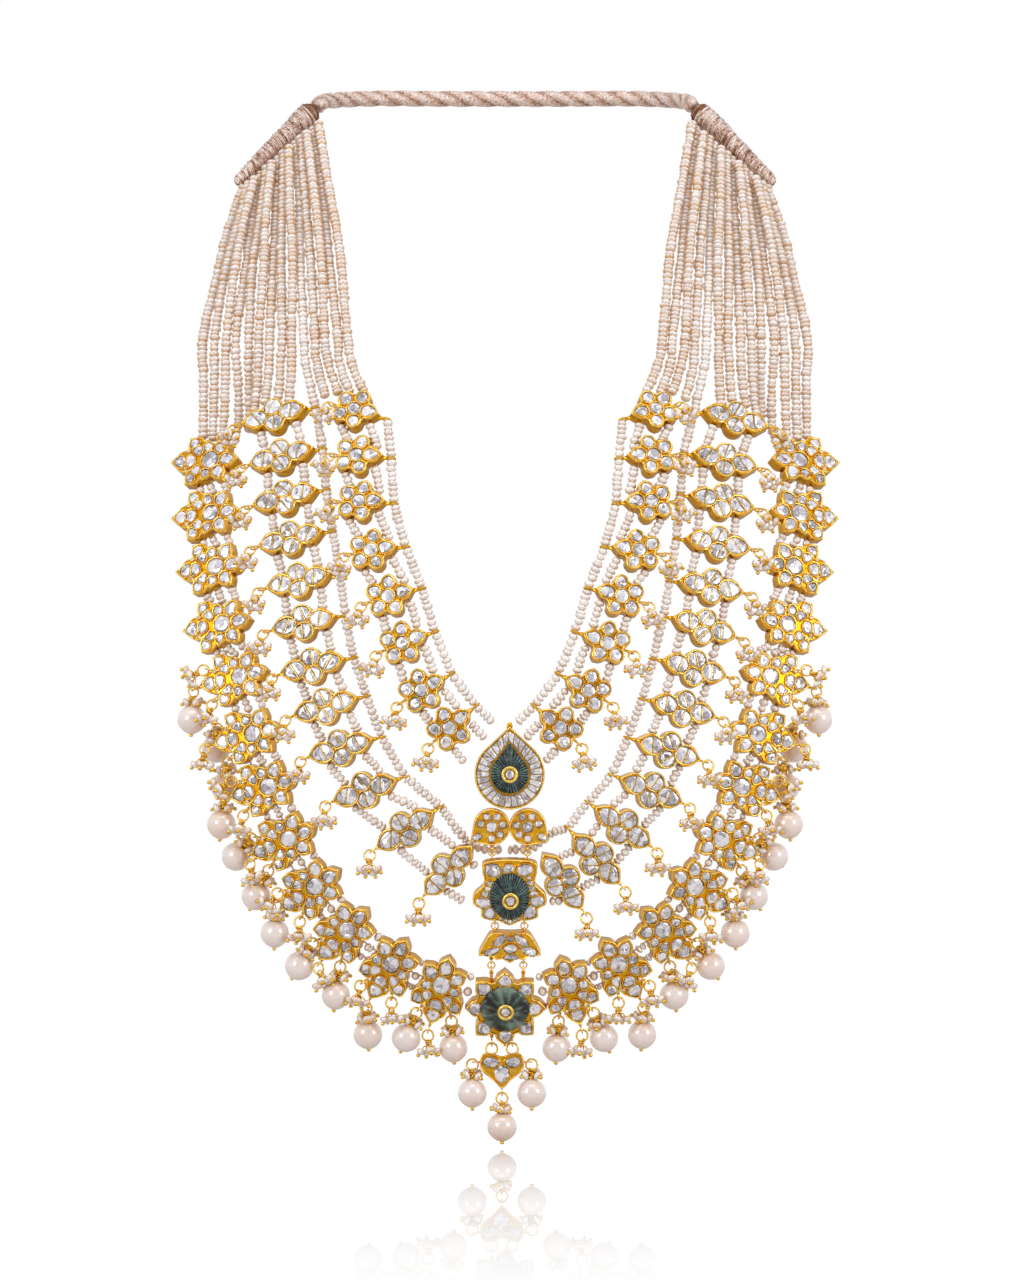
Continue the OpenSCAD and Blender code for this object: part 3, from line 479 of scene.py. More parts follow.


# A plate's wall and rim, back to front: height, distance in from the outline, tone; the tones paint shade on
# the wall and a highlight along the rim's crest
PLATE_RINGS = [
    [-2.25, 0.7, 0.6], [-2.1, 0.25, 0.5], [-1.6, 0.0, 0.2], [0.0, 0.05, 0.22], [1.3, 0.0, 0.3],
    [1.85, 0.0, 0.6], [2.22, 0.12, 1.0], [2.3, 0.26, 1.0], [2.2, 0.42, 0.8], [1.78, 0.6, 0.25]]


def gold_body(gold, place, outline_at, thick=PLATE_T, waver=None, field=0.4):
    """The gold of a plate: closed back, upright wall in painted shade, a rim with a painted highlight, and the
    floor the stones lie on, in a lower tone that is painted shade.
    """
    rings, tones = [], []
    for z, by, tone in PLATE_RINGS:
        shape = outline_at(by)
        if waver is not None:
            shape = shape * waver[:, None]
        rings.append(place(level(shape, z + np.sign(-z) * (PLATE_T - thick) / 2)))
        tones.append(tone)
    # The floor between the stones gets a lower tone than the rim: painted shade
    tones[-1] = field
    gold.loft(rings, tones)


def stone_shape(long, wide, point, rng, count=14, rough=0.05):
    """A hand-cut stone's outline: an oval, more pointed at its outer end, with uneven corners."""
    t = steps_round(count)
    pull = 1 - abs(point) * (0.5 + 0.5 * np.sign(point) * cosd(t)) ** 1.5 if point else 1
    x, y = long * cosd(t), wide * sind(t) * pull
    uneven = 1 + rough * sum(rng.normal() * cosd(k * t + rng.uniform(0, 360)) for k in (2, 3, 4, 5))
    return np.stack([x * uneven, y * uneven], -1)


def turned(shape, angle, distance=0.0, own=0.0):
    """A stone's outline moved out along an angle, and turned with it and by its own turn."""
    c, s = cosd(angle + own), sind(angle + own)
    return shape @ np.array([[c, s], [-s, c]]) + distance * np.array([cosd(angle), sind(angle)])


def cut(shape, point, normal):
    """The part of an outline on one side of a straight line."""
    side = (shape - point) @ normal
    out = []
    for i in range(len(shape)):
        j = (i + 1) % len(shape)
        if side[i] >= 0:
            out.append(shape[i])
        if side[i] * side[j] < 0:
            out.append(shape[i] + (shape[j] - shape[i]) * side[i] / (side[i] - side[j]))
    return np.array(out)


def polki(stones, place, shape, rng, low=1.6, high=2.12, rise=0.22):
    """A flat uncut stone: a low crown with a few uneven facets."""
    middle = shape.mean(axis=0)
    lean = rng.normal(0, 0.05, 2)
    tone = rng.uniform(0, 1)

    def facets(scale, z, jitter):
        p = middle + (shape - middle) * scale
        tip = (p - middle) @ lean
        return place(np.column_stack([p, z + tip + rng.normal(0, jitter, len(p))]))

    top = middle + rng.normal(0, 0.12, 2) * np.ptp(shape, axis=0)
    rings = [facets(1.0, low, 0), facets(1.0, high, 0),
             facets(rng.uniform(0.72, 0.8), high + rise * 0.8, 0.02),
             facets(rng.uniform(0.36, 0.46), high + rise, 0.025)]
    # The edge is darker: painted shade, as the foil under the stone lies in shade there
    stones.loft(rings, [tone - 1.3, tone - 1.3, tone, tone], start=False,
                middle=place.spot(*top, high + rise * 0.95))


# A bezel, from the stone outward: distance from the stone's edge, height, tone; the tones paint a highlight on
# its crest and shade at its feet
BEZEL = [
    [0.02, 1.7, 0.3], [0.06, 2.14, 0.6], [0.2, 2.36, 1.0], [0.34, 2.38, 1.0], [0.5, 2.14, 0.55],
    [0.66, 1.72, 0.25]]


def bezel(gold, place, shape, wide, high=0.0):
    """A raised gold edge pressed round a stone, with a painted highlight on its crest and painted shade at its
    feet.
    """
    middle = shape.mean(axis=0)
    away = shape - middle
    away /= np.linalg.norm(away, axis=1)[:, None]
    rings = [place(level(shape + away * off * wide, z + high)) for off, z, _ in BEZEL]
    gold.loft(rings[::-1], [tone for _, _, tone in BEZEL][::-1], start=False, end=False)


def bar(gold, place, a, b, wide, low, high):
    """A thin gold ridge between two stones, in a bright tone all along: a painted highlight."""
    a, b = np.asarray(a, float), np.asarray(b, float)
    way = unit(b - a)
    side = np.array([-way[1], way[0]]) * wide / 2
    rings = []
    for p in np.linspace(a, b, 4):
        rings.append(place([[*(p - side), low], [*(p + side), low],
                            [*(p + side * 0.5), high], [*(p - side * 0.5), high]]))
    gold.loft(rings, 0.9)


def as_spots(table):
    """Spots given by angle and distance, as across, up, half sizes, turn and point."""
    return [[d * cosd(a), d * sind(a), long, wide, a, point] for a, d, long, wide, point in table]


def fitted(spots, edges, ridge=0.21, spare=1.12):
    """Outlines for stones that lie close together inside a plate's edges, a thin ridge apart."""
    middles = np.array([spot[:2] for spot in spots])
    sizes = np.array([math.sqrt(spot[2] * spot[3]) for spot in spots])
    start = np.concatenate(edges)
    way = np.concatenate([np.roll(edge, -1, axis=0) - edge for edge in edges])
    t = np.arange(18) * 20.0
    shapes = []
    for k, (_, _, long, wide, turn, point) in enumerate(spots):
        ray = np.stack([cosd(t + turn), sind(t + turn)], -1)
        pull = 1 - point * (0.5 + 0.5 * cosd(t)) ** 2
        oval = spare / np.sqrt((cosd(t) / long) ** 2 + (sind(t) / (wide * pull)) ** 2)
        cross = ray[:, None, 0] * way[None, :, 1] - ray[:, None, 1] * way[None, :, 0]
        cross = np.where(np.abs(cross) < 1e-9, 1e-9, cross)
        gap = start - middles[k]
        along = (gap[None, :, 0] * way[None, :, 1] - gap[None, :, 1] * way[None, :, 0]) / cross
        share = (gap[None, :, 0] * ray[:, None, 1] - gap[None, :, 1] * ray[:, None, 0]) / cross
        reach = np.where((share >= 0) & (share <= 1) & (along > 0), along, 99).min(axis=1)
        for j in range(len(spots)):
            if j != k:
                link = middles[j] - middles[k]
                far = np.linalg.norm(link)
                line = far * sizes[k] / (sizes[k] + sizes[j]) - ridge
                toward = ray @ (link / far)
                reach = np.minimum(reach, np.where(toward > 0.05, line / np.maximum(toward, 0.05), 99))
        reach = np.minimum(reach, oval)
        reach = (np.roll(reach, 1) + 2 * reach + np.roll(reach, -1)) / 4
        shapes.append(middles[k] + ray * np.maximum(reach, 0.3)[:, None])
    return shapes


def set_stones(gold, stones, place, shapes, rng):
    """Stones and their bezels, each a little uneven; the small ones have fewer facets and a thinner bezel."""
    for shape in shapes:
        middle = shape.mean(axis=0)
        small = np.ptp(shape[:, 0]) < 1.8
        size = rng.uniform(0.92, 1.0) * (1 + 0.03 * rng.normal(0, 1, (len(shape), 1)))
        shape = (middle + (shape - middle) * size)[::2 if small else 1]
        polki(stones, place, shape, rng)
        bezel(gold, place, shape, 0.6 if small else 0.8)


def stones_at(gold, stones, place, table, rng):
    """Stones set apart, each at its own spot."""
    for x, y, long, across, turn, point in table:
        small = long < 1.05
        shape = stone_shape(long, across, point, rng, 9 if small else 16, 0.025)
        shape = turned(shape, 0, 0, turn) + [x, y]
        polki(stones, place, shape, rng)
        bezel(gold, place, shape, 0.55 if small else 0.7)


def uneven(count, rng, size=0.006):
    """Slow unevenness round an outline made by hand."""
    t = steps_round(count)
    return 1 + size * sum(rng.normal() * cosd(k * t + rng.uniform(0, 360)) for k in (3, 5, 7))


# Findings

def hook(gold, place, reach, angle=0.0, height=0.0):
    """A small soldered eye at a plate's edge, in the plane of the plate's axis and its face."""
    own = place.moved([0, 0, 0], about_z=angle)
    ring(gold, own, [reach - EYE_R, 0, height], EYE_R - 0.02, HOOK_WIRE_R, 18, 6, normal="y")
    foot = reach - 2 * EYE_R
    tube(gold, own([[foot - 1.7, 0, height], [foot + 0.2, 0, height]]), 0.42, 8, 0.7, up=own.turn[2])


def hanging_ring(gold, place):
    ring(gold, place, [0, HANG - RING_R, 0], RING_R, DROP_WIRE_R, 18, 6)


def knot(gold, place, high, rng, size, turns):
    """The few turns of wire that close a drop over its ring."""
    for k in range(turns):
        at = np.array([0, high, 0]) + [rng.normal(0, 0.12), 0.35 - 0.4 * k, rng.normal(0, 0.12)]
        tilt = place.moved(at, about_x=90 + rng.normal(0, 22), about_z=rng.normal(0, 30))
        ring(gold, tilt, [0, 0, 0], size * rng.uniform(0.85, 1.15), 0.21, 11, 5, tone=0.75)


def pins(gold, seeds, place, start, ways, rng, reach):
    """Wire pins with a ball at the end, each through one seed pearl.

    A way is the pin's turn in the drop's plane, its tilt out of it, and where it starts across and in front.
    """
    centres, turns, sizes, tones = [], [], [], []
    for turn, tilt, across, front in ways:
        turn, tilt = turn + rng.normal(0, 5), tilt + rng.normal(0, 5)
        local = np.array([sind(turn) * cosd(tilt), -cosd(turn) * cosd(tilt), sind(tilt)])
        far = reach * rng.uniform(0.95, 1.05)
        way = local @ place.turn
        begin = place.spot(start[0] + across, start[1], start[2] + front)
        end = begin + way * far
        tube(gold, [place.spot(*start), begin, end], 0.2, 5, 0.6, up=unit(np.cross(way, [0.3, 0.2, 0.9])))
        centres.append(begin + way * (far - 1.3))
        turns.append(upright(way))
        wide = rng.uniform(1.35, 1.65)
        sizes.append([wide, wide * rng.uniform(0.75, 0.95), rng.uniform(0.85, 1.02)])
        tones.append(rng.uniform(0.6, 1.1))
        gold.many(BALL, [end], [upright(way)], [[0.66, 0.66, 0.62]], [0.9])
    seeds.many(SEED, centres, turns, sizes, tones)


CLUSTER_PINS = [
    [-40, 0, -1.5, 0], [34, 6, 1.4, 0.2], [-8, 26, -0.2, 1.0], [14, -26, 0.9, -0.8], [-20, -30, -0.8, -0.8]]
# Round a large pearl's shoulder, flatter where they point to the front; only some pearls have the last one
CAP_PINS = [
    [-66, 22, 0, 0.3], [62, 26, 0, 0.3], [-76, -32, 0, -0.3], [74, -36, 0, -0.3], [-10, -64, 0, -0.6],
    [-36, 60, 0, 0.5]]


def cluster(gold, seeds, place, bend, rng):
    """A small bunch of seed pearls on a ring."""
    hanging_ring(gold, place)
    low = place.moved([0, KNOT_Y, 0], about_x=-0.3 * bend)
    knot(gold, low, -0.2, rng, 0.85, 5)
    pins(gold, seeds, low, [0, -1.5, 0], CLUSTER_PINS, rng, 3.2)


def pearl_drop(gold, seeds, pearls, place, long, bend, rng):
    """A large pearl on a ring, under a cap of seed pearls."""
    hanging_ring(gold, place)
    low = place.moved([0, KNOT_Y, 0], about_x=-bend)
    drop = long + KNOT_Y
    knot(gold, low, -0.1, rng, 0.95, 7)
    tube(gold, low([[0, -0.3, 0], [0, PEARL_R - drop + 0.1, 0]]), 0.3, 6, 0.5, up=low.turn[2])
    cap = low.moved([0, PEARL_R - drop - 0.05, 0], about_x=90)
    ring(gold, cap, [0, 0, 0], 0.85, 0.3, 14, 6, tone=0.7)
    pins(gold, seeds, low, [0, -0.6, 0], CAP_PINS[:5 + int(rng.uniform() < 0.4)], rng, 3.5)
    size = PEARL_R * np.array([rng.uniform(0.97, 1.01), rng.uniform(0.97, 1.01), rng.uniform(0.985, 1.02)])
    turn = np.array([low.turn[0], low.turn[2], low.turn[1]])
    turn[0] *= -1
    pearls.many(PEARL, [low.spot(0, -drop, 0)], [turn], [size], [rng.uniform(0.3, 0.8)])
    gold.many(BALL, [low.spot(0, -drop - PEARL_R - 0.3, 0)], [upright(low.turn[1])], [[0.68, 0.68, 0.6]], [0.9])


# Materials

def group(name, ins, outs):
    """A shader node group with named sockets."""
    tree = bpy.data.node_groups.new(name, "ShaderNodeTree")
    for label, value in ins.items():
        socket = tree.interface.new_socket(label, in_out="INPUT", socket_type="NodeSocketFloat")
        socket.default_value = value
    for label in outs:
        tree.interface.new_socket(label, in_out="OUTPUT", socket_type="NodeSocketFloat")
    return tree, tree.nodes.new("NodeGroupInput"), tree.nodes.new("NodeGroupOutput")


def put(tree, kind, **values):
    """Adds a node, with plain values, menu choices, or links for its sockets."""
    made = tree.nodes.new("ShaderNode" + kind)
    for name, value in values.items():
        if name.startswith("_"):
            setattr(made, name[1:], value)
            continue
        key = int(name[1:]) if name[0] == "i" and name[1:].isdigit() else name.replace("_", " ")
        socket = made.inputs[key]
        if isinstance(value, bpy.types.NodeSocket):
            tree.links.new(value, socket)
        else:
            socket.default_value = value
    return made


def surface_place(tree):
    return put(tree, "TexCoord").outputs["Object"]


def make_grain():
    """Uneven hand-worked surface: slow shade and fine grain, in one height."""
    tree, ins, outs = group("hand_worked", {"Scale": 900.0, "Unevenness": 0.5}, ["Shade", "Height"])
    where = surface_place(tree)
    slow = put(tree, "TexNoise", Vector=where, Scale=ins.outputs["Scale"], Detail=2.0, Roughness=0.5)
    finer = put(tree, "Math", _operation="MULTIPLY", i0=ins.outputs["Scale"], i1=4.3)
    fine = put(tree, "TexNoise", Vector=where, Scale=finer.outputs[0], Detail=3.0, Roughness=0.6)
    both = put(tree, "Mix", _data_type="FLOAT", Factor=ins.outputs["Unevenness"], A=slow.outputs[0],
               B=fine.outputs[0])
    tree.links.new(slow.outputs[0], outs.inputs["Shade"])
    tree.links.new(both.outputs[0], outs.inputs["Height"])
    return tree


def make_flecks():
    """Cloudy patches, as inside an uncut stone, broken by straight-edged facets whose differing greys are
    painted reflection.
    """
    tree, ins, outs = group("stone_flecks", {"Scale": 700.0, "Blotches": 400.0},
                            ["Facet", "Cloud", "Crack", "Patch"])
    where = surface_place(tree)
    bent = put(tree, "TexNoise", Vector=where, Scale=420.0, Detail=1.0)
    shift = put(tree, "VectorMath", _operation="MULTIPLY_ADD", i0=bent.outputs["Color"], i1=(0.0012,) * 3,
                i2=where)
    cells = put(tree, "TexVoronoi", Vector=shift.outputs[0], Scale=ins.outputs["Scale"])
    edges = put(tree, "TexVoronoi", _feature="DISTANCE_TO_EDGE", Vector=shift.outputs[0],
                Scale=ins.outputs["Scale"])
    grey = put(tree, "SeparateColor", Color=cells.outputs["Color"])
    cloud = put(tree, "TexNoise", Vector=where, Scale=1500.0, Detail=4.0, Roughness=0.65)
    patch = put(tree, "TexNoise", Vector=where, Scale=ins.outputs["Blotches"], Detail=3.0)
    line = put(tree, "MapRange", Value=edges.outputs["Distance"], From_Min=0.0, From_Max=0.09, To_Min=1.0,
               To_Max=0.0)
    tree.links.new(grey.outputs[0], outs.inputs["Facet"])
    tree.links.new(cloud.outputs[0], outs.inputs["Cloud"])
    tree.links.new(line.outputs[0], outs.inputs["Crack"])
    tree.links.new(patch.outputs[0], outs.inputs["Patch"])
    return tree


GRAIN, FLECKS = make_grain(), make_flecks()


def material(name):
    made = bpy.data.materials.new(name)
    made.use_nodes = True
    tree = made.node_tree
    return made, tree, tree.nodes["Principled BSDF"]


def settle(shader, **values):
    for name, value in values.items():
        shader.inputs[name.replace("_", " ")].default_value = value


def use(tree, nodes, **values):
    made = tree.nodes.new("ShaderNodeGroup")
    made.node_tree = nodes
    for name, value in values.items():
        made.inputs[name].default_value = value
    return made


def ramp(tree, value, stops):
    made = tree.nodes.new("ShaderNodeValToRGB")
    band = made.color_ramp
    while len(band.elements) < len(stops):
        band.elements.new(0.5)
    for mark, (at, colour) in zip(band.elements, stops):
        mark.position, mark.color = at, (*colour, 1)
    tree.links.new(value, made.inputs[0])
    return made.outputs[0]


def tone_of(tree):
    """The tone given to each point of a piece, from dark to bright: random differences, and the painted shade,
    highlights and reflections given to the pieces.
    """
    return put(tree, "Attribute", _attribute_name="tone").outputs["Fac"]


def scaled(tree, value, by, plus=0.0, clamp=False):
    return put(tree, "Math", _operation="MULTIPLY_ADD", i0=value, i1=by, i2=plus, _use_clamp=clamp).outputs[0]


def colour_by(tree, shader, value, stops):
    tree.links.new(ramp(tree, value, stops), shader.inputs["Base Color"])


def roughness_by(tree, shader, value, low, high):
    made = put(tree, "MapRange", Value=value, From_Min=0.3, From_Max=0.7, To_Min=low, To_Max=high)
    tree.links.new(made.outputs[0], shader.inputs["Roughness"])


def bump(tree, shader, height, strength, distance):
    made = put(tree, "Bump", Strength=strength, Distance=distance, Height=height)
    tree.links.new(made.outputs[0], shader.inputs["Normal"])


def gold_look():
    made, tree, shader = material("rich_gold")
    grain = use(tree, GRAIN, Scale=620.0, Unevenness=0.3)
    shade = scaled(tree, grain.outputs["Shade"], 0.6, -0.3)
    # Colour follows the tone: painted shade on walls and hollows, painted highlights on rims, ridges and lips,
    # and the grain's random shade
    colour_by(tree, shader, scaled(tree, tone_of(tree), 1.0, shade, True), [
        (0.0, (0.36, 0.14, 0.002)), (0.3, (0.71, 0.33, 0.005)), (0.65, (0.93, 0.53, 0.025)),
        (1.0, (1.0, 0.76, 0.21))])
    roughness_by(tree, shader, grain.outputs["Height"], 0.14, 0.34)
    settle(shader, Metallic=1.0)
    bump(tree, shader, grain.outputs["Height"], 0.7, 0.0003)
    return made


def polki_look():
    """Foil-backed stone: grey facets, clouds and fine cracks; the facets' light and dark greys are painted
    reflection.
    """
    made, tree, shader = material("uncut_polki")
    flecks = use(tree, FLECKS, Scale=560.0)
    grey = scaled(tree, flecks.outputs["Facet"], 0.75, -0.05)
    cloudy = scaled(tree, flecks.outputs["Cloud"], 0.5, grey)
    toned = scaled(tree, tone_of(tree), 0.22, cloudy)
    colour_by(tree, shader, scaled(tree, flecks.outputs["Crack"], -0.4, toned, True), [
        (0.0, (0.17, 0.13, 0.13)), (0.25, (0.38, 0.34, 0.36)), (0.5, (0.64, 0.61, 0.66)),
        (0.8, (0.93, 0.91, 0.96))])
    settle(shader, Metallic=0.4, Roughness=0.12, IOR=1.9, Coat_Weight=0.8, Coat_Roughness=0.03)
    bump(tree, shader, flecks.outputs["Facet"], 0.5, 0.0004)
    return made


def seed_look():
    made, tree, shader = material("seed_pearl")
    grain = use(tree, GRAIN, Scale=500.0, Unevenness=0.2)
    # Low tones, at the seeds' ends and sides, are painted shade and warm reflection; the brightest stop serves
    # the strings' brighter tones, painted light
    colour_by(tree, shader, scaled(tree, grain.outputs["Shade"], 0.3, tone_of(tree), True), [
        (0.0, (0.64, 0.34, 0.11)), (0.3, (0.80, 0.54, 0.32)), (0.55, (0.80, 0.66, 0.57)),
        (0.85, (0.82, 0.75, 0.73)), (1.0, (0.98, 0.90, 0.84))])
    settle(shader, Roughness=0.24, Subsurface_Weight=0.1, Subsurface_Scale=0.0008, Coat_Weight=1.0,
           Coat_Roughness=0.1, Coat_IOR=2.2, Specular_IOR_Level=0.7)
    bump(tree, shader, grain.outputs["Height"], 0.25, 0.0001)
    return made


def pearl_look():
    made, tree, shader = material("large_pearl")
    grain = use(tree, GRAIN, Scale=160.0, Unevenness=0.3)
    faint = scaled(tree, grain.outputs["Shade"], 0.4)
    # Lower tones, towards a pearl's top and foot, turn peach: painted shade and a painted warm reflection of
    # the gold
    colour_by(tree, shader, scaled(tree, tone_of(tree), 0.6, faint, True), [
        (0.05, (0.88, 0.60, 0.42)), (0.3, (0.90, 0.72, 0.62)), (0.5, (0.92, 0.78, 0.73)),
        (0.75, (0.94, 0.84, 0.82))])
    settle(shader, Roughness=0.3, Subsurface_Weight=0.15, Subsurface_Scale=0.002, Coat_Weight=1.0,
           Coat_Roughness=0.14, Coat_IOR=2.0, Specular_IOR_Level=0.7)
    bump(tree, shader, grain.outputs["Height"], 0.1, 0.0001)
    return made


def emerald_look(name, dark, light, blotches, spread, polish):
    """Carved emerald, patchy from dark to light; spread is how strong the patches are."""
    made, tree, shader = material(name)
    flecks = use(tree, FLECKS, Blotches=blotches)
    patchy = scaled(tree, flecks.outputs["Patch"], spread, -0.5 * spread)
    cloudy = scaled(tree, flecks.outputs["Cloud"], 0.5, patchy)
    middle = [mix(a, b, 0.35) for a, b in zip(dark, light)]
    colour_by(tree, shader, scaled(tree, tone_of(tree), 0.45, cloudy, True), [
        (0.15, dark), (0.5, middle), (0.9, light)])
    settle(shader, Roughness=0.2, Coat_Weight=polish, Coat_Roughness=0.1, IOR=1.45)
    bump(tree, shader, flecks.outputs["Cloud"], 0.5, 0.0003)
    return made


def thread_look():
    made, tree, shader = material("rose_gold_thread")
    grain = use(tree, GRAIN, Scale=1500.0, Unevenness=0.6)
    # Bright specks where the grain rises and dark where it sinks: painted glitter and painted shade on the
    # metal thread
    rise = scaled(tree, grain.outputs["Height"], 3.4, -1.7)
    colour_by(tree, shader, scaled(tree, tone_of(tree), 1.0, rise, True), [
        (0.0, (0.20, 0.075, 0.025)), (0.28, (0.54, 0.32, 0.22)), (0.55, (0.82, 0.62, 0.55)),
        (1.0, (1.0, 0.94, 0.90))])
    roughness_by(tree, shader, grain.outputs["Shade"], 0.25, 0.5)
    settle(shader, Metallic=0.6)
    bump(tree, shader, grain.outputs["Height"], 0.8, 0.00025)
    return made


GOLD, POLKI, SEEDS, PEARLY, THREADS = gold_look(), polki_look(), seed_look(), pearl_look(), thread_look()
CARVED = emerald_look("carved_emerald", (0.001, 0.005, 0.008), (0.15, 0.26, 0.24), 800.0, 1.1, 0.25)
MELON = emerald_look("melon_emerald", (0.0003, 0.001, 0.001), (0.18, 0.26, 0.20), 210.0, 2.6, 0.4)


def piece(name, heap, look, body="necklace", left=False, sharp=None, replaced=()):
    """Makes a mesh of what was gathered, mirrored for the left side, and lets it ride on its body.

    sharp is the angle from which edges stay sharp; 0 leaves every facet flat, and None smooths them all.
    """
    points = np.concatenate(heap.points) / 1000
    if left:
        points[:, 0] *= -1
    quads = np.concatenate(heap.quads) if heap.quads else np.zeros((0, 4), int)
    tris = np.concatenate(heap.tris) if heap.tris else np.zeros((0, 3), int)
    if left:
        quads, tris = quads[:, ::-1], tris[:, ::-1]
    mesh = bpy.data.meshes.new(name)
    mesh.vertices.add(len(points))
    mesh.vertices.foreach_set("co", points.ravel())
    corners = np.concatenate([quads.ravel(), tris.ravel()])
    mesh.loops.add(len(corners))
    mesh.loops.foreach_set("vertex_index", corners)
    starts = np.concatenate([np.arange(len(quads)) * 4, len(quads) * 4 + np.arange(len(tris)) * 3])
    mesh.polygons.add(len(starts))
    mesh.polygons.foreach_set("loop_start", starts)
    mesh.update(calc_edges=True)
    mesh.validate()
    tones = mesh.attributes.new("tone", "FLOAT", "POINT")
    tones.data.foreach_set("value", np.concatenate(heap.tone).astype(np.float32))
    if sharp != 0:
        mesh.shade_smooth()
        if sharp:
            mesh.set_sharp_from_angle(angle=math.radians(sharp))
    made = bpy.data.objects.new(name, mesh)
    bpy.context.scene.collection.objects.link(made)
    mesh.materials.append(look)
    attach(made, body)
    if replaced:
        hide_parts(*replaced)


def side_piece(name, heap, look, left, sharp=None, replaced=None):
    """A piece of the left or right half, and the CAD node of that half that it replaces."""
    side = "_left" if left else "_right"
    piece(name + side, heap, look, left=left, sharp=sharp, replaced=[replaced + side] if replaced else ())


# Strings

def strand_path(i, middle):
    """The way of one upper strand, from the wound end down to the plate where it ends."""
    t = 0.03 + 0.9 * i / 13
    top = mix(WRAP_LOW, KNOB, t) + mix(2.2, 3.7, t) * np.array([-0.69, -0.72])
    wide = np.array([90.9 - 3.35 * i, -73.5])
    kind, run, off = STRAND_ENDS[i]
    row = [OUTER[0], middle[0], INNER[0]][kind]
    shape = [STAR, LOZENGE, FLOWER][kind]
    up = -1 if kind == 2 else 1
    high = 2.4 if run < -11 else clear_at(shape, run, up)
    foot = plate_spot(row, [run, up * (high + GAP), off / 2])
    layer = (i % 3 - 1) * LAYER_GAP
    path = []
    for s in (0, 0.3, 0.6, 1):
        x, z = mix(top[0], wide[0], s * (1.4 - 0.4 * s)), mix(top[1], wide[1], s)
        x += 0.35 * sind(137 * i + 410 * s) * (s > 0)
        path.append(on_chest(x, z) - [0, 0.75 * layer * (1 - s * s), 0])
    for s in (0.4, 0.75, 1):
        x, z = mix(wide[0], foot[0], s * s), mix(wide[1], foot[2], s)
        path.append(foot if s == 1 else on_chest(x, z, off * (1 if s == 0.75 else 0.5)))
    return path


def strung_row(seeds, threads, rows, shape, run, up, last, rng, size=1.56):
    """Seed pearls between the plates of a row, on a thread that runs through them."""
    high, low = clear_at(shape, run, up) - 0.05, clear_at(shape, run, -up) - 0.05
    tube(threads, [plate_spot(r, [run, s * up * 2.0, THREAD_LEVEL]) for r in rows for s in (1, -1)],
         SILK_R, 5)
    for j, row in enumerate(rows):
        start = plate_spot(row, [run, -up * low, THREAD_LEVEL])
        if j + 1 < len(rows):
            end = plate_spot(rows[j + 1], [run, up * high, THREAD_LEVEL])
            way = -up * axes(row)[1]
            if (end - start) @ way < 0.9:
                continue
            path = [start, end]
        elif len(last):
            path = [start, *last]
        else:
            continue
        length = np.linalg.norm(path[-1] - path[0])
        if length > 1.1:
            seeds_along(seeds, path, rng, min(size, 0.85 * length))


def collar(gold, place, tip, run):
    """The little neck and band of gold at a plate's tip that the string runs through."""
    out, cross, front = place.turn
    band = Place(place.spot(run, 0, TIP_LEVEL), [out, -front, cross])
    ring(gold, band, [0, 0, 0], 1.12, 0.42, 16, 7, flat=0.85, tone=0.7)
    near = 1.0 if run > 0 else -1.0
    neck = [[tip - near * 1.2, 0, TIP_LEVEL * 0.3], [mix(tip, run, 0.2), 0, TIP_LEVEL * 0.6],
            [run - near * 1.1, 0, TIP_LEVEL]]
    tube(gold, place(neck), [1.05, 0.62, 0.42], 8, 0.6, up=front)


def beside_row(seeds, threads, rows, run, first, last, rng):
    """Seed pearls from collar to collar along the tips of a row."""
    stops = [plate_spot(r, [run, 0, TIP_LEVEL]) for r in rows]
    for j in range(-1 if first else 0, len(rows)):
        path = list(first)
        if j >= 0:
            ahead = stops[j + 1] if j + 1 < len(rows) else last[0]
            path = [stops[j] + unit(ahead - stops[j]) * 0.5]
        if j + 1 < len(rows):
            path.append(stops[j + 1] + unit(path[-1] - stops[j + 1]) * 0.5)
        else:
            path += last
        seeds_along(seeds, path, rng)
    tube(threads, smooth_path([*first, *stops, *last], 2.0), SILK_R, 5)


# How far out on a plate its collar's string runs
MIDDLE_TIP = -10.6 - TIP_EYE_R - WIRE_R + 0.3
INNER_TIP = 8.3 + TIP_EYE_R + WIRE_R - 0.3
# Where strings end by the centre column: past the last plate's edge or its axis, or across, up, off the chest
STAR_STUBS, FLOWER_REACHES = [0, 2.4, 1.9], [10.6, 9.2]
UPPER_END_RIGHT, UPPER_END_LEFT, INNER_END = [13.3, -243.2], [12.4, -243.2], [3.6, -189.8]
BEHIND_COLUMN = [[13.6, -223.5, -3.2], [9, -227.6, -4], [0.9, -228.5, -4]]


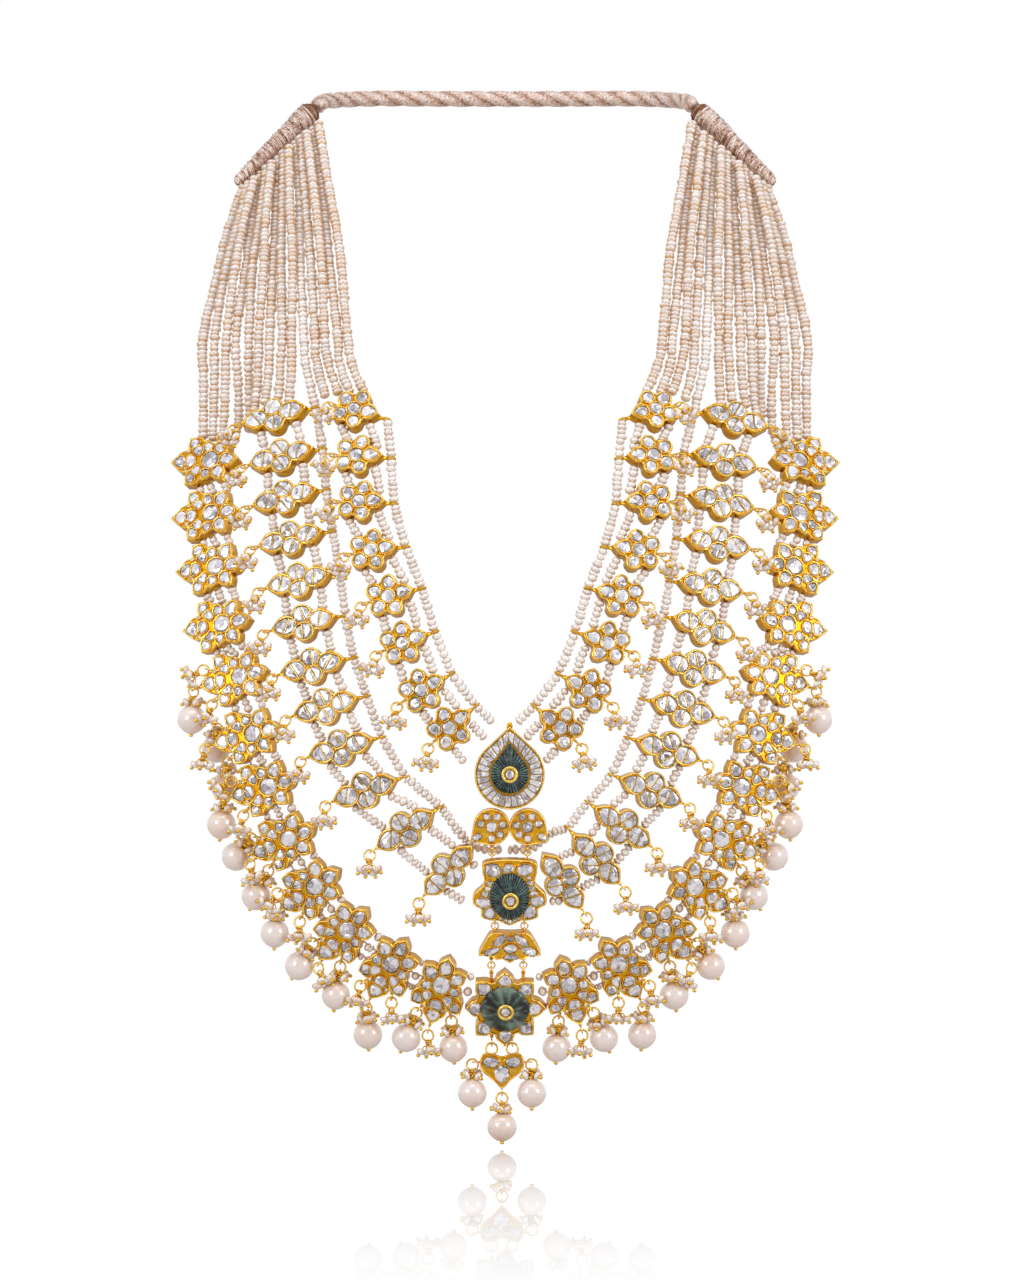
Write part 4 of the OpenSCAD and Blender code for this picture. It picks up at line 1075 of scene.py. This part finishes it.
def strings(left):
    """All strings of one half, and the silk inside them."""
    rng = np.random.default_rng(11 + left)
    middle = MIDDLE_LEFT if left else MIDDLE_RIGHT
    threads, strands = Heap(), Heap()
    for i in range(len(STRAND_ENDS)):
        if i != INNER_STRAND:
            # The fifth one stops behind the first lozenge, out of sight
            path = strand_path(i, middle)[:6 if i == 4 else 7]
            # The strands' seeds keep lower tones than the strings' seeds, whose brighter tones are painted
            # light
            seeds_along(strands, path, rng, 1.62, 1.68, tones=(0.55, 1.0))
            tube(threads, smooth_path(path, 3.0), SILK_R, 5)
    side_piece("seed_strands", strands, SEEDS, left, replaced="strands")

    outer = Heap()
    for run, stub in zip(STAR_RUNS, STAR_STUBS):
        low = clear_at(STAR, run, -1)
        last = [plate_spot(OUTER[-1], [run, -low - stub, THREAD_LEVEL])] if stub else []
        strung_row(outer, threads, OUTER, STAR, run, 1, last, rng, 1.45)
    side_piece("seed_outer", outer, SEEDS, left, replaced="outer_strings")

    mid = Heap()
    upper, lower = LOZENGE_RUNS
    upper_end = on_chest(*(UPPER_END_LEFT if left else UPPER_END_RIGHT))
    strung_row(mid, threads, middle, LOZENGE, upper, 1, [upper_end], rng)
    foot = [lower, -clear_at(LOZENGE, lower, -1) - (2 if left else 1), THREAD_LEVEL]
    strung_row(mid, threads, middle, LOZENGE, lower, 1, [plate_spot(middle[-1], foot)], rng)
    beside_row(mid, threads, middle[:-1], MIDDLE_TIP, strand_path(INNER_STRAND, middle)[:5],
               [on_chest(*p) for p in BEHIND_COLUMN], rng)
    side_piece("seed_middle", mid, SEEDS, left, replaced="middle_strings")

    inner = Heap()
    for run, reach in zip(FLOWER_RUNS, FLOWER_REACHES):
        last = [plate_spot(INNER[-1], [run, reach, THREAD_LEVEL])]
        strung_row(inner, threads, INNER, FLOWER, run, -1, last, rng)
    beside_row(inner, threads, INNER, INNER_TIP, [], [on_chest(*INNER_END)], rng)
    side_piece("seed_inner", inner, SEEDS, left, replaced="inner_strings")
    side_piece("silk_threads", threads, THREADS, left)


# Plates of the three rows

def star_eye(angle):
    """How far out on a star the eye for a drop stands."""
    return max(petal_reach(p, np.array([(angle + 360) % 360]))[0] for p in STAR_PETALS) + 2 * EYE_R + 0.4


# How far out the eyes for clusters stand on the plates of the middle and inner rows
MIDDLE_EYE, INNER_EYE = 10.5 + 2 * EYE_R, 5.6 + 2 * EYE_R + 0.4
# Ways that the gold line across a stone may turn, on the long petals and on the short ones
LONG_LINES, SHORT_LINES = [0, 10, 20, -20, 35], [90, 55, 120, 65, 75]
# How far in from a plate's outline its stones begin
RIM = 0.62


def halves(gold, stones, place, shape, rng, line_turn):
    """A petal's stone, cut in two by a thin gold line."""
    middle = shape.mean(axis=0) + rng.normal(0, 0.25, 2)
    normal = np.array([cosd(line_turn), sind(line_turn)])
    for sign in (1, -1):
        half = cut(shape, middle + normal * sign * 0.13, normal * sign)
        if len(half) > 3:
            polki(stones, place, half, rng)
    along_line = np.array([-normal[1], normal[0]])
    reach = (shape - middle) @ along_line * 0.93
    bar(gold, place, middle + along_line * reach.min(), middle + along_line * reach.max(), 0.26, 1.7, 2.28)


def plates(left):
    """The gold plates of one half's three rows, with their stones."""
    rng = np.random.default_rng(31 + left)
    gold, stones = Heap(), Heap()
    outline = insets_of(STAR_PETALS, STAR_HUB, 144)
    shapes = fitted(as_spots(STAR_STONES), [outline(RIM)])
    for j, row in enumerate(OUTER):
        place = plate_place(row)
        gold_body(gold, place, outline, waver=uneven(144, rng))
        set_stones(gold, stones, place, shapes, rng)
        for drops, height in ((PEARLS, 0), (CLUSTERS, CLUSTER_LEVEL)):
            for star, angle, *_ in drops:
                if star == j:
                    hook(gold, place, star_eye(angle), angle, height)
    side_piece("star_plates", gold, GOLD, left, 50, "outer_stars")
    side_piece("star_polki", stones, POLKI, left, 0, "outer_stones")

    gold, stones = Heap(), Heap()
    rows = MIDDLE_LEFT if left else MIDDLE_RIGHT
    outline = insets_of(LOZENGE_PETALS, LOZENGE_HUB, 96)
    shapes = fitted(as_spots(LOZENGE_STONES), [outline(RIM)])
    for j, row in enumerate(rows):
        place = plate_place(row)
        gold_body(gold, place, outline, waver=uneven(96, rng))
        for (angle, *_), shape in zip(LOZENGE_STONES, shapes):
            bezel(gold, place, shape, 0.8)
            turns = LONG_LINES if angle in (0, 180) else SHORT_LINES
            halves(gold, stones, place, shape, rng, angle + rng.choice(turns) + rng.normal(0, 5))
        hook(gold, place, MIDDLE_EYE, 0, CLUSTER_LEVEL)
        if j + 1 < len(rows):
            collar(gold, place, -10.2, MIDDLE_TIP)
    side_piece("petal_plates", gold, GOLD, left, 50, "middle_plates")
    side_piece("petal_polki", stones, POLKI, left, 0)

    gold, stones = Heap(), Heap()
    outline = insets_of(FLOWER_PETALS, FLOWER_HUB, 100)
    shapes = fitted(as_spots(FLOWER_STONES), [outline(RIM)])
    for row in INNER:
        place = plate_place(row)
        gold_body(gold, place, outline, waver=uneven(100, rng))
        set_stones(gold, stones, place, shapes, rng)
        hook(gold, place, INNER_EYE, 180, CLUSTER_LEVEL)
        collar(gold, place, 8.0, INNER_TIP)
    side_piece("flower_plates", gold, GOLD, left, 50, "inner_stars")
    side_piece("flower_polki", stones, POLKI, left, 0)


def drops(left):
    """The large pearls and the clusters of one half."""
    rng = np.random.default_rng(51 + left)

    def on_star(star, angle, height):
        reach = star_eye(angle)
        return plate_spot(OUTER[star], [reach * cosd(angle), reach * sind(angle), height])

    gold, seeds, pearls = Heap(), Heap(), Heap()
    for star, angle, lean, lift, long, bend in PEARLS:
        pearl_drop(gold, seeds, pearls, hung(on_star(star, angle, 0), lean, lift), long, bend, rng)
    side_piece("large_pearls", pearls, PEARLY, left, replaced="pearl_drops")
    side_piece("pearl_cap_seeds", seeds, SEEDS, left)
    side_piece("pearl_cap_wires", gold, GOLD, left)

    middle_rows = MIDDLE_LEFT if left else MIDDLE_RIGHT
    bunches = {
        "outer": [(on_star(star, angle, CLUSTER_LEVEL), lean, lift, bend)
                  for star, angle, lean, lift, bend in CLUSTERS],
        "middle": [(plate_spot(row, [MIDDLE_EYE, 0, CLUSTER_LEVEL]), 0, 20, 41) for row in middle_rows],
        "inner": [(plate_spot(row, [-INNER_EYE, 0, CLUSTER_LEVEL]), 5, 20, 32) for row in INNER]}
    for name, bunch in bunches.items():
        gold, seeds = Heap(), Heap()
        for at, lean, lift, bend in bunch:
            cluster(gold, seeds, hung(at, lean, lift), bend, rng)
        side_piece(name + "_cluster_wires", gold, GOLD, left, replaced=name + "_clusters")
        side_piece(name + "_cluster_seeds", seeds, SEEDS, left)


# Wound ends and the cord

def wound_end(left):
    """Metal thread wound over the gathered strands, up to a rounded knob."""
    rng = np.random.default_rng(71 + left)
    windings, around = 62, 22
    t = np.linspace(0, 1, windings * 5 + 1)
    x, z = mix(WRAP_LOW[0], KNOB[0], t), mix(WRAP_LOW[1], KNOB[1], t)
    path = np.stack([x, chest(x, z), z], -1)
    size = mix(1.8, 3.6, np.minimum(1, t / 0.8))
    # Both ends are rounded
    for beyond in ((0.05 - t) / 0.055, (t - 0.9) / 0.104):
        size = size * np.sqrt(np.clip(1 - beyond.clip(0) ** 2, 0.05, 1))
    # No two windings are quite as thick, and between them the thread lies deeper
    own = rng.normal(0, 0.018, windings + 1)[np.minimum((t * windings).astype(int), windings)]
    slow = np.interp(t, np.linspace(0, 1, 15), rng.normal(0, 0.035, 15))
    size = size * (1 + own + slow - 0.075 * np.abs(cosd(180 * t * windings)) ** 4)
    way = unit(path[-1] - path[0])
    a = unit(np.cross(way, [0, -1, 0]))
    b = np.cross(way, a)
    turn = steps_round(around)
    rings, tones = [], []
    tilt, sparkle = rng.normal(0.9, 0.35, windings + 1), rng.normal(0, 0.32, (windings + 1, 8))
    for k, middle in enumerate(path):
        w = min(int(t[k] * windings), windings)
        lump = size[k] * (1 + 0.03 * cosd(3 * turn + 900 * t[k]) + 0.02 * rng.normal(0, 1, around))
        rings.append(middle + lump[:, None] * (np.outer(cosd(turn), a) + np.outer(sind(turn), b))
                     + np.outer(tilt[w] * 0.6 * cosd(turn), way) * min(1, 12 * (1 - t[k]), 12 * t[k] + 0.1))
        # Each winding's random shine is painted glitter, painted highlights; the grooves between windings get
        # painted shade
        shine = np.interp(turn, np.arange(8) * 51, sparkle[w])
        groove = abs(cosd(180 * t[k] * windings)) ** 3
        # The knob is darker
        tones.append(0.62 + shine - 0.45 * groove - 0.8 * max(0, (t[k] - 0.86) / 0.14))
    heap = Heap()
    heap.loft(rings, tones)
    # Threads that cross over the windings
    for k in range(26):
        start, turns = rng.uniform(0.04, 0.82), rng.uniform(0.5, 1.3)
        s = np.linspace(0, 1, 26)
        at = start + s * rng.uniform(0.05, 0.13)
        spin = rng.uniform(0, 360) + 360 * turns * s
        middle = path[0] + np.outer(at, path[-1] - path[0])
        r = np.interp(at, t, size) * 1.035 + 0.06
        line = middle + (r * cosd(spin))[:, None] * a + (r * sind(spin))[:, None] * b
        tube(heap, line, 0.16, 5, rng.uniform(0.6, 1.0), up=way)
    side_piece("wound_end", heap, THREADS, left, replaced="end_wrap")


def neck_cord():
    """A cord of three twisted strands round the nape."""
    knob_way = unit(on_chest(*KNOB) - on_chest(60, -5.9))
    half = [on_chest(*KNOB) + 0.35 * knob_way, *[np.array(p, float) for p in NAPE]]
    path = smooth_path([*half, [0, 2.5, 0], *[p * [-1, 1, 1] for p in half[::-1]]], 0.8)
    way = np.gradient(path, axis=0)
    way /= np.linalg.norm(way, axis=1)[:, None]
    a = np.cross(way, [0, 0, 1])
    a /= np.linalg.norm(a, axis=1)[:, None]
    b = np.cross(way, a)
    turn = steps_round(30)
    run = np.linspace(0, 1, len(path))
    rings, tones = [], []
    for k, middle in enumerate(path):
        # The three strands turn by 13 degrees a step; where two meet, the cord is thinner and darker: painted
        # shade
        lay = np.abs(cosd(1.5 * (turn - 13 * k)))
        end = min(1, 0.78 + min(run[k], 1 - run[k]) * 60)
        r = 2.48 * (0.8 + 0.2 * lay ** 0.7 + 0.012 * cosd(14 * turn + 90 * k)) * end
        rings.append(middle + (r * cosd(turn))[:, None] * a[k] + (r * sind(turn))[:, None] * b[k])
        tones.append(0.2 + 0.45 * lay)
    heap = Heap()
    heap.loft(rings, tones)
    piece("twisted_neck_cord", heap, THREADS, replaced=["neck_cord"])


# The centre column

def link_eye(gold, k, up, long):
    """The two eyes over (up 1) or under (up -1) a pair of links, each on a stem to its plate."""
    x, side_x, z = LINKS[k]
    foot = LINK_R + LINK_EYE_R
    for side in (-1, 1):
        place = plate_place([x + side * side_x, z, 0])
        ring(gold, place, [0, up * LINK_R, 0], LINK_EYE_R, LINK_WIRE_R, 18, 7, normal="x", tone=0.75)
        tube(gold, place([[0, up * (foot + 0.1), 0], [0, up * (foot + long), 0]]), 0.46, 9, 0.6)
        gold.many(BALL, [place.spot(0, up * (foot + 0.5), 0.15)], [place.turn], [[0.75, 0.6, 0.7]], [0.9])


# A carved stone's dome, from its edge up: share of the way out from the cup, height
DOME = [
    (1, 1.3), (1, 2.2), (0.995, 2.55), (0.975, 2.85), (0.94, 3.1), (0.88, 3.35), (0.8, 3.55), (0.7, 3.7),
    (0.6, 3.79), (0.5, 3.85), (0.4, 3.88), (0.3, 3.9)]
DOME_FOOT = 2.2


def carved(stone, place, outline, centre, ridges, top, depth, rng, uneven_lobes=0.14):
    """A domed emerald with grooves that run out from its cup to its edge."""
    n = len(outline)
    phase = np.arange(n) / n * ridges
    crest = np.abs(sind(180 * phase))
    groove = 1 - crest ** 0.6
    lobe = phase.astype(int)
    # Each lobe gets its own random tone; the grooves get painted shade and the crests painted glints, thin
    # painted highlights
    own, glint = rng.normal(0, uneven_lobes, ridges + 1)[lobe], rng.uniform(0, 0.9, ridges + 1)[lobe]
    shade = own - min(0.3, depth * 0.7) * groove + glint * depth * 2 * crest ** 8
    centre = np.asarray(centre, float)
    rings, tones = [], []
    for s, z in DOME:
        cut_in = depth * groove * (s - 0.15)
        p = centre + (outline - centre) * (s - cut_in * 0.12 * s)[:, None]
        high = DOME_FOOT + (z - DOME_FOOT) * top - cut_in * (z > DOME_FOOT)
        rings.append(place(np.column_stack([p, high])))
        tones.append(0.3 + shade + rng.normal(0, 0.1, n))
    stone.loft(rings, tones, start=False)


# A cup, from its foot on the stone over the lip and in: radius, height, tone; the tones paint a highlight on
# the lip and shade at the foot and inside
CUP = [
    [2.5, 3.3, 0.3], [2.6, 3.75, 0.4], [2.58, 4.2, 0.7], [2.42, 4.5, 1], [2.15, 4.66, 1], [1.88, 4.6, 1],
    [1.7, 4.35, 0.7], [1.6, 4.0, 0.3], [1.45, 3.95, 0.3]]


def cups(rng):
    """The gold cup on each emerald, with a stone in it."""
    gold, stones = Heap(), Heap()
    turn = steps_round(36)
    for row, at in CUPS:
        place = plate_place(row).moved([*at, 0])
        rings = [place(level(np.stack([r * cosd(turn), r * sind(turn)], -1), z)) for r, z, _ in CUP]
        gold.loft(rings, [tone for _, _, tone in CUP], start=False)
        polki(stones, place, stone_shape(1.45, 1.4, 0, rng, 12, 0.03), rng, 3.9, 4.12, 0.3)
    piece("emerald_cups", gold, GOLD, sharp=50, replaced=["stone_cups"])
    piece("cup_polki", stones, POLKI, sharp=0)


def teardrop(rng):
    """The top plate: a ring of baguettes round a carved drop."""
    gold, stones, carving = Heap(), Heap(), Heap()
    place = plate_place(TEARDROP)
    outline = insets_of([[90, 0, 10.5, 14.4]], 10.5, 180)
    gold_body(gold, place, outline)
    # The baguettes' inner and outer ends, ray by ray, and marks at even steps along their middles
    inside = np.linalg.norm(petal_outline([[90, 0, 5.85, 9.75]], 5.85, 180, -0.42), axis=1)
    outside = np.linalg.norm(outline(0.72), axis=1)
    rays = np.arange(181) * 2.0
    run = np.concatenate([[0], np.cumsum((inside + outside) / 2 * math.radians(2))])
    count = 30
    marks = np.interp(np.arange(count + 1) / count * run[-1], run, rays)

    def ends(mark):
        return [np.interp(mark % 360, rays, np.append(table, table[0])) for table in (inside, outside)]

    for mark, following in zip(marks, marks[1:]):
        low, high = ends(mark)
        ray = np.array([cosd(mark), sind(mark)])
        bar(gold, place, ray * low, ray * high, 0.18, 1.7, 2.16)
        corners = []
        for edge, side, shift in ((mark, 0, 1), (mark, 1, 1), (following, 1, -1), (following, 0, -1)):
            r = ends(edge)[side]
            a = edge + shift * math.degrees(0.14 / r)
            corners.append([r * cosd(a), r * sind(a)])
        corners = np.array(corners)[::-1]
        between = (corners + np.roll(corners, -1, axis=0)) / 2
        polki(stones, place, np.stack([corners, between], 1).reshape(-1, 2), rng, 1.6, 2.14, 0.16)
    gold.many(BALL, [place.spot(0, 14.4, 0.3)], [place.turn], [[1.0, 1.35, 1.0]], [0.8])
    carved(carving, place, petal_outline([[90, 0, 5.8, 9.7]], 5.8, 288), CUPS[0][1], 36, 1.0, 0.45, rng)
    piece("teardrop_gold", gold, GOLD, sharp=50, replaced=["teardrop_plate"])
    piece("teardrop_baguettes", stones, POLKI, sharp=0)
    piece("carved_teardrop", carving, CARVED, sharp=60, replaced=["teardrop_emerald"])


def paisleys(rng):
    """A pair of paisleys, each with a ring of round stones and one in its tail."""
    gold, stones = Heap(), Heap()
    for side, tail, first in ((1, -35, 16), (-1, 215, -91)):
        place = plate_place(PAISLEY).moved([side * 5.4, 0, 0])
        gold_body(gold, place, insets_of([[tail, 0, 5.5, 7.7]], 5.5, 96), field=0.65)
        spots = [[first + 51 * k, 3.45, 1.1, 1.05, 0] for k in range(6)]
        spots += [[0, 0, 1.75, 1.6, 0], [tail, 5.4, 1.6, 1.15, 0.45]]
        for angle, distance, long, wide, point in spots:
            shape = stone_shape(long, wide, point, rng, 13, 0.02)
            shape = turned(shape, angle, distance, 0 if distance else 35)
            polki(stones, place, shape, rng, 1.6, 2.0)
            bezel(gold, place, shape, 0.8, high=-0.02)
    link_eye(gold, 0, 1, 2)
    piece("paisley_gold", gold, GOLD, sharp=50, replaced=["paisley_pair"])
    piece("paisley_polki", stones, POLKI, sharp=0)


def square_plate(rng):
    """The wavy-edged plate with its carved oval."""
    gold, stones, carving = Heap(), Heap(), Heap()
    place = plate_place(FRAME)
    outline = inset_outline(closed_curve(both_sides(FRAME_HALF)))
    gold_body(gold, place, outline, field=0.6)
    turn = np.arange(336) / 336 * 360
    oval = np.stack([6.0 * cosd(turn), 7.2 * sind(turn)], -1) + [0, -1.3]
    set_stones(gold, stones, place, fitted(FRAME_STONES, [outline(0.6), oval * 0.98], 0.16, 1.3), rng)
    carved(carving, place, oval * [0.99, 0.99], CUPS[1][1], 42, 1.0, 0.4, rng)
    link_eye(gold, 0, -1, 2)
    link_eye(gold, 1, 1, 2)
    piece("frame_gold", gold, GOLD, sharp=50, replaced=["square_plate"])
    piece("frame_polki", stones, POLKI, sharp=0)
    piece("carved_oval", carving, CARVED, sharp=60, replaced=["oval_emerald"])


def fan(rng):
    """The small fan of long pointed stones."""
    gold, stones = Heap(), Heap()
    place = plate_place(FAN)
    gold_body(gold, place, inset_outline(closed_curve(both_sides(FAN_HALF))), field=0.65)
    stones_at(gold, stones, place, FAN_STONES, rng)
    link_eye(gold, 1, -1, 2)
    link_eye(gold, 2, 1, 2)
    piece("fan_gold", gold, GOLD, sharp=50, replaced=["half_flower"])
    piece("fan_polki", stones, POLKI, sharp=0)


def centre_star(rng):
    """The star with the melon-carved emerald, and the two eyes that the last drop hangs from."""
    gold, stones, carving = Heap(), Heap(), Heap()
    place = plate_place(CENTRE)
    outline = insets_of(CENTRE_PETALS, 9, 144)
    gold_body(gold, place, outline, waver=uneven(144, rng))
    turn = np.arange(200) * 1.8
    round_edge = np.stack([7.3 * cosd(turn), 7.3 * sind(turn)], -1)
    spots = as_spots([[45 * k, 9.5, 2.4, 2.2, 0.45] for k in range(8)])
    set_stones(gold, stones, place, fitted(spots, [outline(0.65), round_edge * 0.98]), rng)
    carved(carving, place, round_edge, CUPS[2][1], 12, 1.05, 0.4, rng, 0.1)
    link_eye(gold, 2, -1, 4)
    for side in (-1, 1):
        low = Place([DROP_X + side * DROP_SIDE, chest(0, AXIS_Z), AXIS_Z - HANG + EYE_R], np.eye(3))
        ring(gold, low, [0, 0, 0], EYE_R, HOOK_WIRE_R, 20, 7, normal="x", tone=0.75)
        tube(gold, low([[0, 0, EYE_R + 0.1], [0, 0, EYE_R + 3]]), 0.55, 9, 0.6)
    piece("centre_star_gold", gold, GOLD, sharp=50, replaced=["centre_star"])
    piece("centre_star_polki", stones, POLKI, sharp=0)
    piece("melon_carving", carving, MELON, sharp=60, replaced=["round_emerald"])


def links():
    gold = Heap()
    for x, side_x, z in LINKS:
        for side in (-1, 1):
            ring(gold, plate_place([x + side * side_x, z, 0]), [0, 0, 0], LINK_R, LINK_WIRE_R)
    piece("link_rings", gold, GOLD, replaced=["column_links"])


def column():
    rng = np.random.default_rng(91)
    for make in (teardrop, paisleys, square_plate, fan, centre_star, cups):
        make(rng)
    links()


def last_drop():
    """The small plate under the star, with its three pearls; all of it swings."""
    rng = np.random.default_rng(97)
    y = chest(0, AXIS_Z)
    place = Place([DROP_X, y, AXIS_Z - 2 * RING_R - 4.2], [[1, 0, 0], [0, 0, 1], [0, -1, 0]])
    gold, stones = Heap(), Heap()
    outline = inset_outline(closed_curve(both_sides(DROP_HALF)))
    gold_body(gold, place, outline, 3.5, field=0.65)
    # The plate is thinner than the others, so its stones lie lower
    lower = place.moved([0, 0, -0.5])
    set_stones(gold, stones, lower, fitted(DROP_STONES, [outline(0.6)], 0.2, 1.2), rng)
    for x, up, turn in DROP_PEGS:
        hook(gold, place.moved([x, up, 0], about_z=turn), 0)
    for side in (-1, 1):
        low = Place([DROP_X + side * DROP_SIDE, y, AXIS_Z - RING_R], np.eye(3))
        ring(gold, low, [0, 0, 0], RING_R, 0.3, 24, 8, normal="y", tone=0.85)
    piece("drop_gold", gold, GOLD, "drop", sharp=50, replaced=["drop_plate"])
    piece("drop_polki", stones, POLKI, "drop", sharp=0)
    gold, seeds, pearls = Heap(), Heap(), Heap()
    for x, up, _ in DROP_PEGS:
        pearl_drop(gold, seeds, pearls, place.moved([x, up, 0]), 9.4, 0, rng)
    piece("drop_large_pearls", pearls, PEARLY, "drop", replaced=["drop_pearls"])
    piece("drop_cap_seeds", seeds, SEEDS, "drop")
    piece("drop_cap_wires", gold, GOLD, "drop")


for on_left in (False, True):
    strings(on_left)
    plates(on_left)
    drops(on_left)
    wound_end(on_left)
neck_cord()
column()
last_drop()


# Floor, light and camera

# In metres: the necklace's middle in depth and height, and the floor just under its lowest pearl
MIDDLE_Y, MIDDLE_Z, FLOOR_Z = -0.13, -0.17, -0.3172


def floor():
    """A pale floor that stays white before the camera and mirrors faintly, less and less towards the front."""
    mesh = bpy.data.meshes.new("pale_floor")
    turn = steps_round(96)
    points = level(np.stack([3 * cosd(turn), 3 * sind(turn) + MIDDLE_Y], -1), FLOOR_Z)
    mesh.from_pydata(points.tolist(), [], [list(range(96))])
    made = bpy.data.objects.new("pale_floor", mesh)
    bpy.context.scene.collection.objects.link(made)
    look = bpy.data.materials.new("pale_floor")
    look.use_nodes = True
    tree = look.node_tree
    tree.nodes.clear()
    where = put(tree, "SeparateXYZ", Vector=put(tree, "TexCoord").outputs["Object"])
    mirror = put(tree, "MapRange", Value=where.outputs["Y"], From_Min=-1.9, From_Max=-0.2, To_Min=0.0,
                 To_Max=0.75)
    share = scaled(tree, mirror.outputs[0], put(tree, "Fresnel", IOR=1.05).outputs[0])
    seen = put(tree, "LightPath").outputs["Is Camera Ray"]
    white = put(tree, "Emission", Color=(1, 1, 1, 1), Strength=scaled(tree, share, -1.0, 1.01))
    gloss = put(tree, "BsdfGlossy", Color=share, Roughness=0.004)
    before = put(tree, "AddShader", i0=white.outputs[0], i1=gloss.outputs[0])
    pale = put(tree, "BsdfDiffuse", Color=(0.62, 0.6, 0.58, 1))
    both = put(tree, "MixShader", i0=seen, i1=pale.outputs[0], i2=before.outputs[0])
    tree.links.new(both.outputs[0], tree.nodes.new("ShaderNodeOutputMaterial").inputs[0])
    mesh.materials.append(look)


def sky():
    """A soft studio all round: bright at the sides and behind, dimmer straight ahead of the necklace."""
    world = bpy.data.worlds.new("soft_studio")
    bpy.context.scene.world = world
    world.use_nodes = True
    tree = world.node_tree
    tree.nodes.clear()
    way = put(tree, "SeparateXYZ", Vector=put(tree, "TexCoord").outputs["Generated"])
    ahead = put(tree, "MapRange", Value=way.outputs["Y"], From_Min=-1.0, From_Max=1.0, To_Min=0.0, To_Max=1.0)
    colour = ramp(tree, ahead.outputs[0], [
        (0.0, (0.26, 0.25, 0.24)), (0.05, (0.36, 0.35, 0.34)), (0.17, (0.84, 0.84, 0.86)),
        (0.97, (0.82, 0.82, 0.82)), (0.998, (1.0, 1.0, 1.0))])
    soft = put(tree, "Background", Color=colour, Strength=1.0)
    white = put(tree, "Background", Color=(1, 1, 1, 1), Strength=1.0)
    seen = put(tree, "LightPath").outputs["Is Camera Ray"]
    both = put(tree, "MixShader", i0=seen, i1=soft.outputs[0], i2=white.outputs[0])
    tree.links.new(both.outputs[0], tree.nodes.new("ShaderNodeOutputWorld").inputs[0])


def soft_light(name, azimuth, height, distance, wide, tall, power):
    """A softbox turned to the middle of the necklace; angles in degrees from straight in front."""
    light = bpy.data.lights.new(name, "AREA")
    light.shape, light.size, light.size_y, light.energy = "RECTANGLE", wide, tall, power
    made = bpy.data.objects.new(name, light)
    aim = np.array([0, MIDDLE_Y, MIDDLE_Z])
    way = np.array([sind(azimuth) * cosd(height), -cosd(azimuth) * cosd(height), sind(height)])
    made.location = aim + way * distance
    made.rotation_euler = Vector(way).to_track_quat("Z", "Y").to_euler()
    made.visible_camera = False
    bpy.context.scene.collection.objects.link(made)


floor()
sky()
soft_light("left_softbox", -42, 15, 2.0, 0.75, 0.8, 7.7)
soft_light("right_softbox", 49, 15, 2.0, 0.75, 0.8, 8.2)
soft_light("top_softbox", 0, 68, 1.8, 1.2, 0.8, 5)

# As in the photo: level, straight from the front, and far enough off for little perspective
CAMERA_X, CAMERA_Z, CAMERA_AWAY, VIEW_WIDE, SENSOR = 0.0021, -0.165, 8, 0.3072, 36
lens = bpy.data.cameras.new("front_camera")
lens.sensor_fit, lens.sensor_width, lens.lens = "HORIZONTAL", SENSOR, SENSOR * CAMERA_AWAY / VIEW_WIDE
lens.clip_start, lens.clip_end = 0.1, 100
camera = bpy.data.objects.new("front_camera", lens)
camera.location = (CAMERA_X, MIDDLE_Y - CAMERA_AWAY, CAMERA_Z)
camera.rotation_euler = (math.radians(90), 0, 0)
bpy.context.scene.collection.objects.link(camera)
bpy.context.scene.camera = camera
bpy.context.scene.view_settings.view_transform = "Standard"
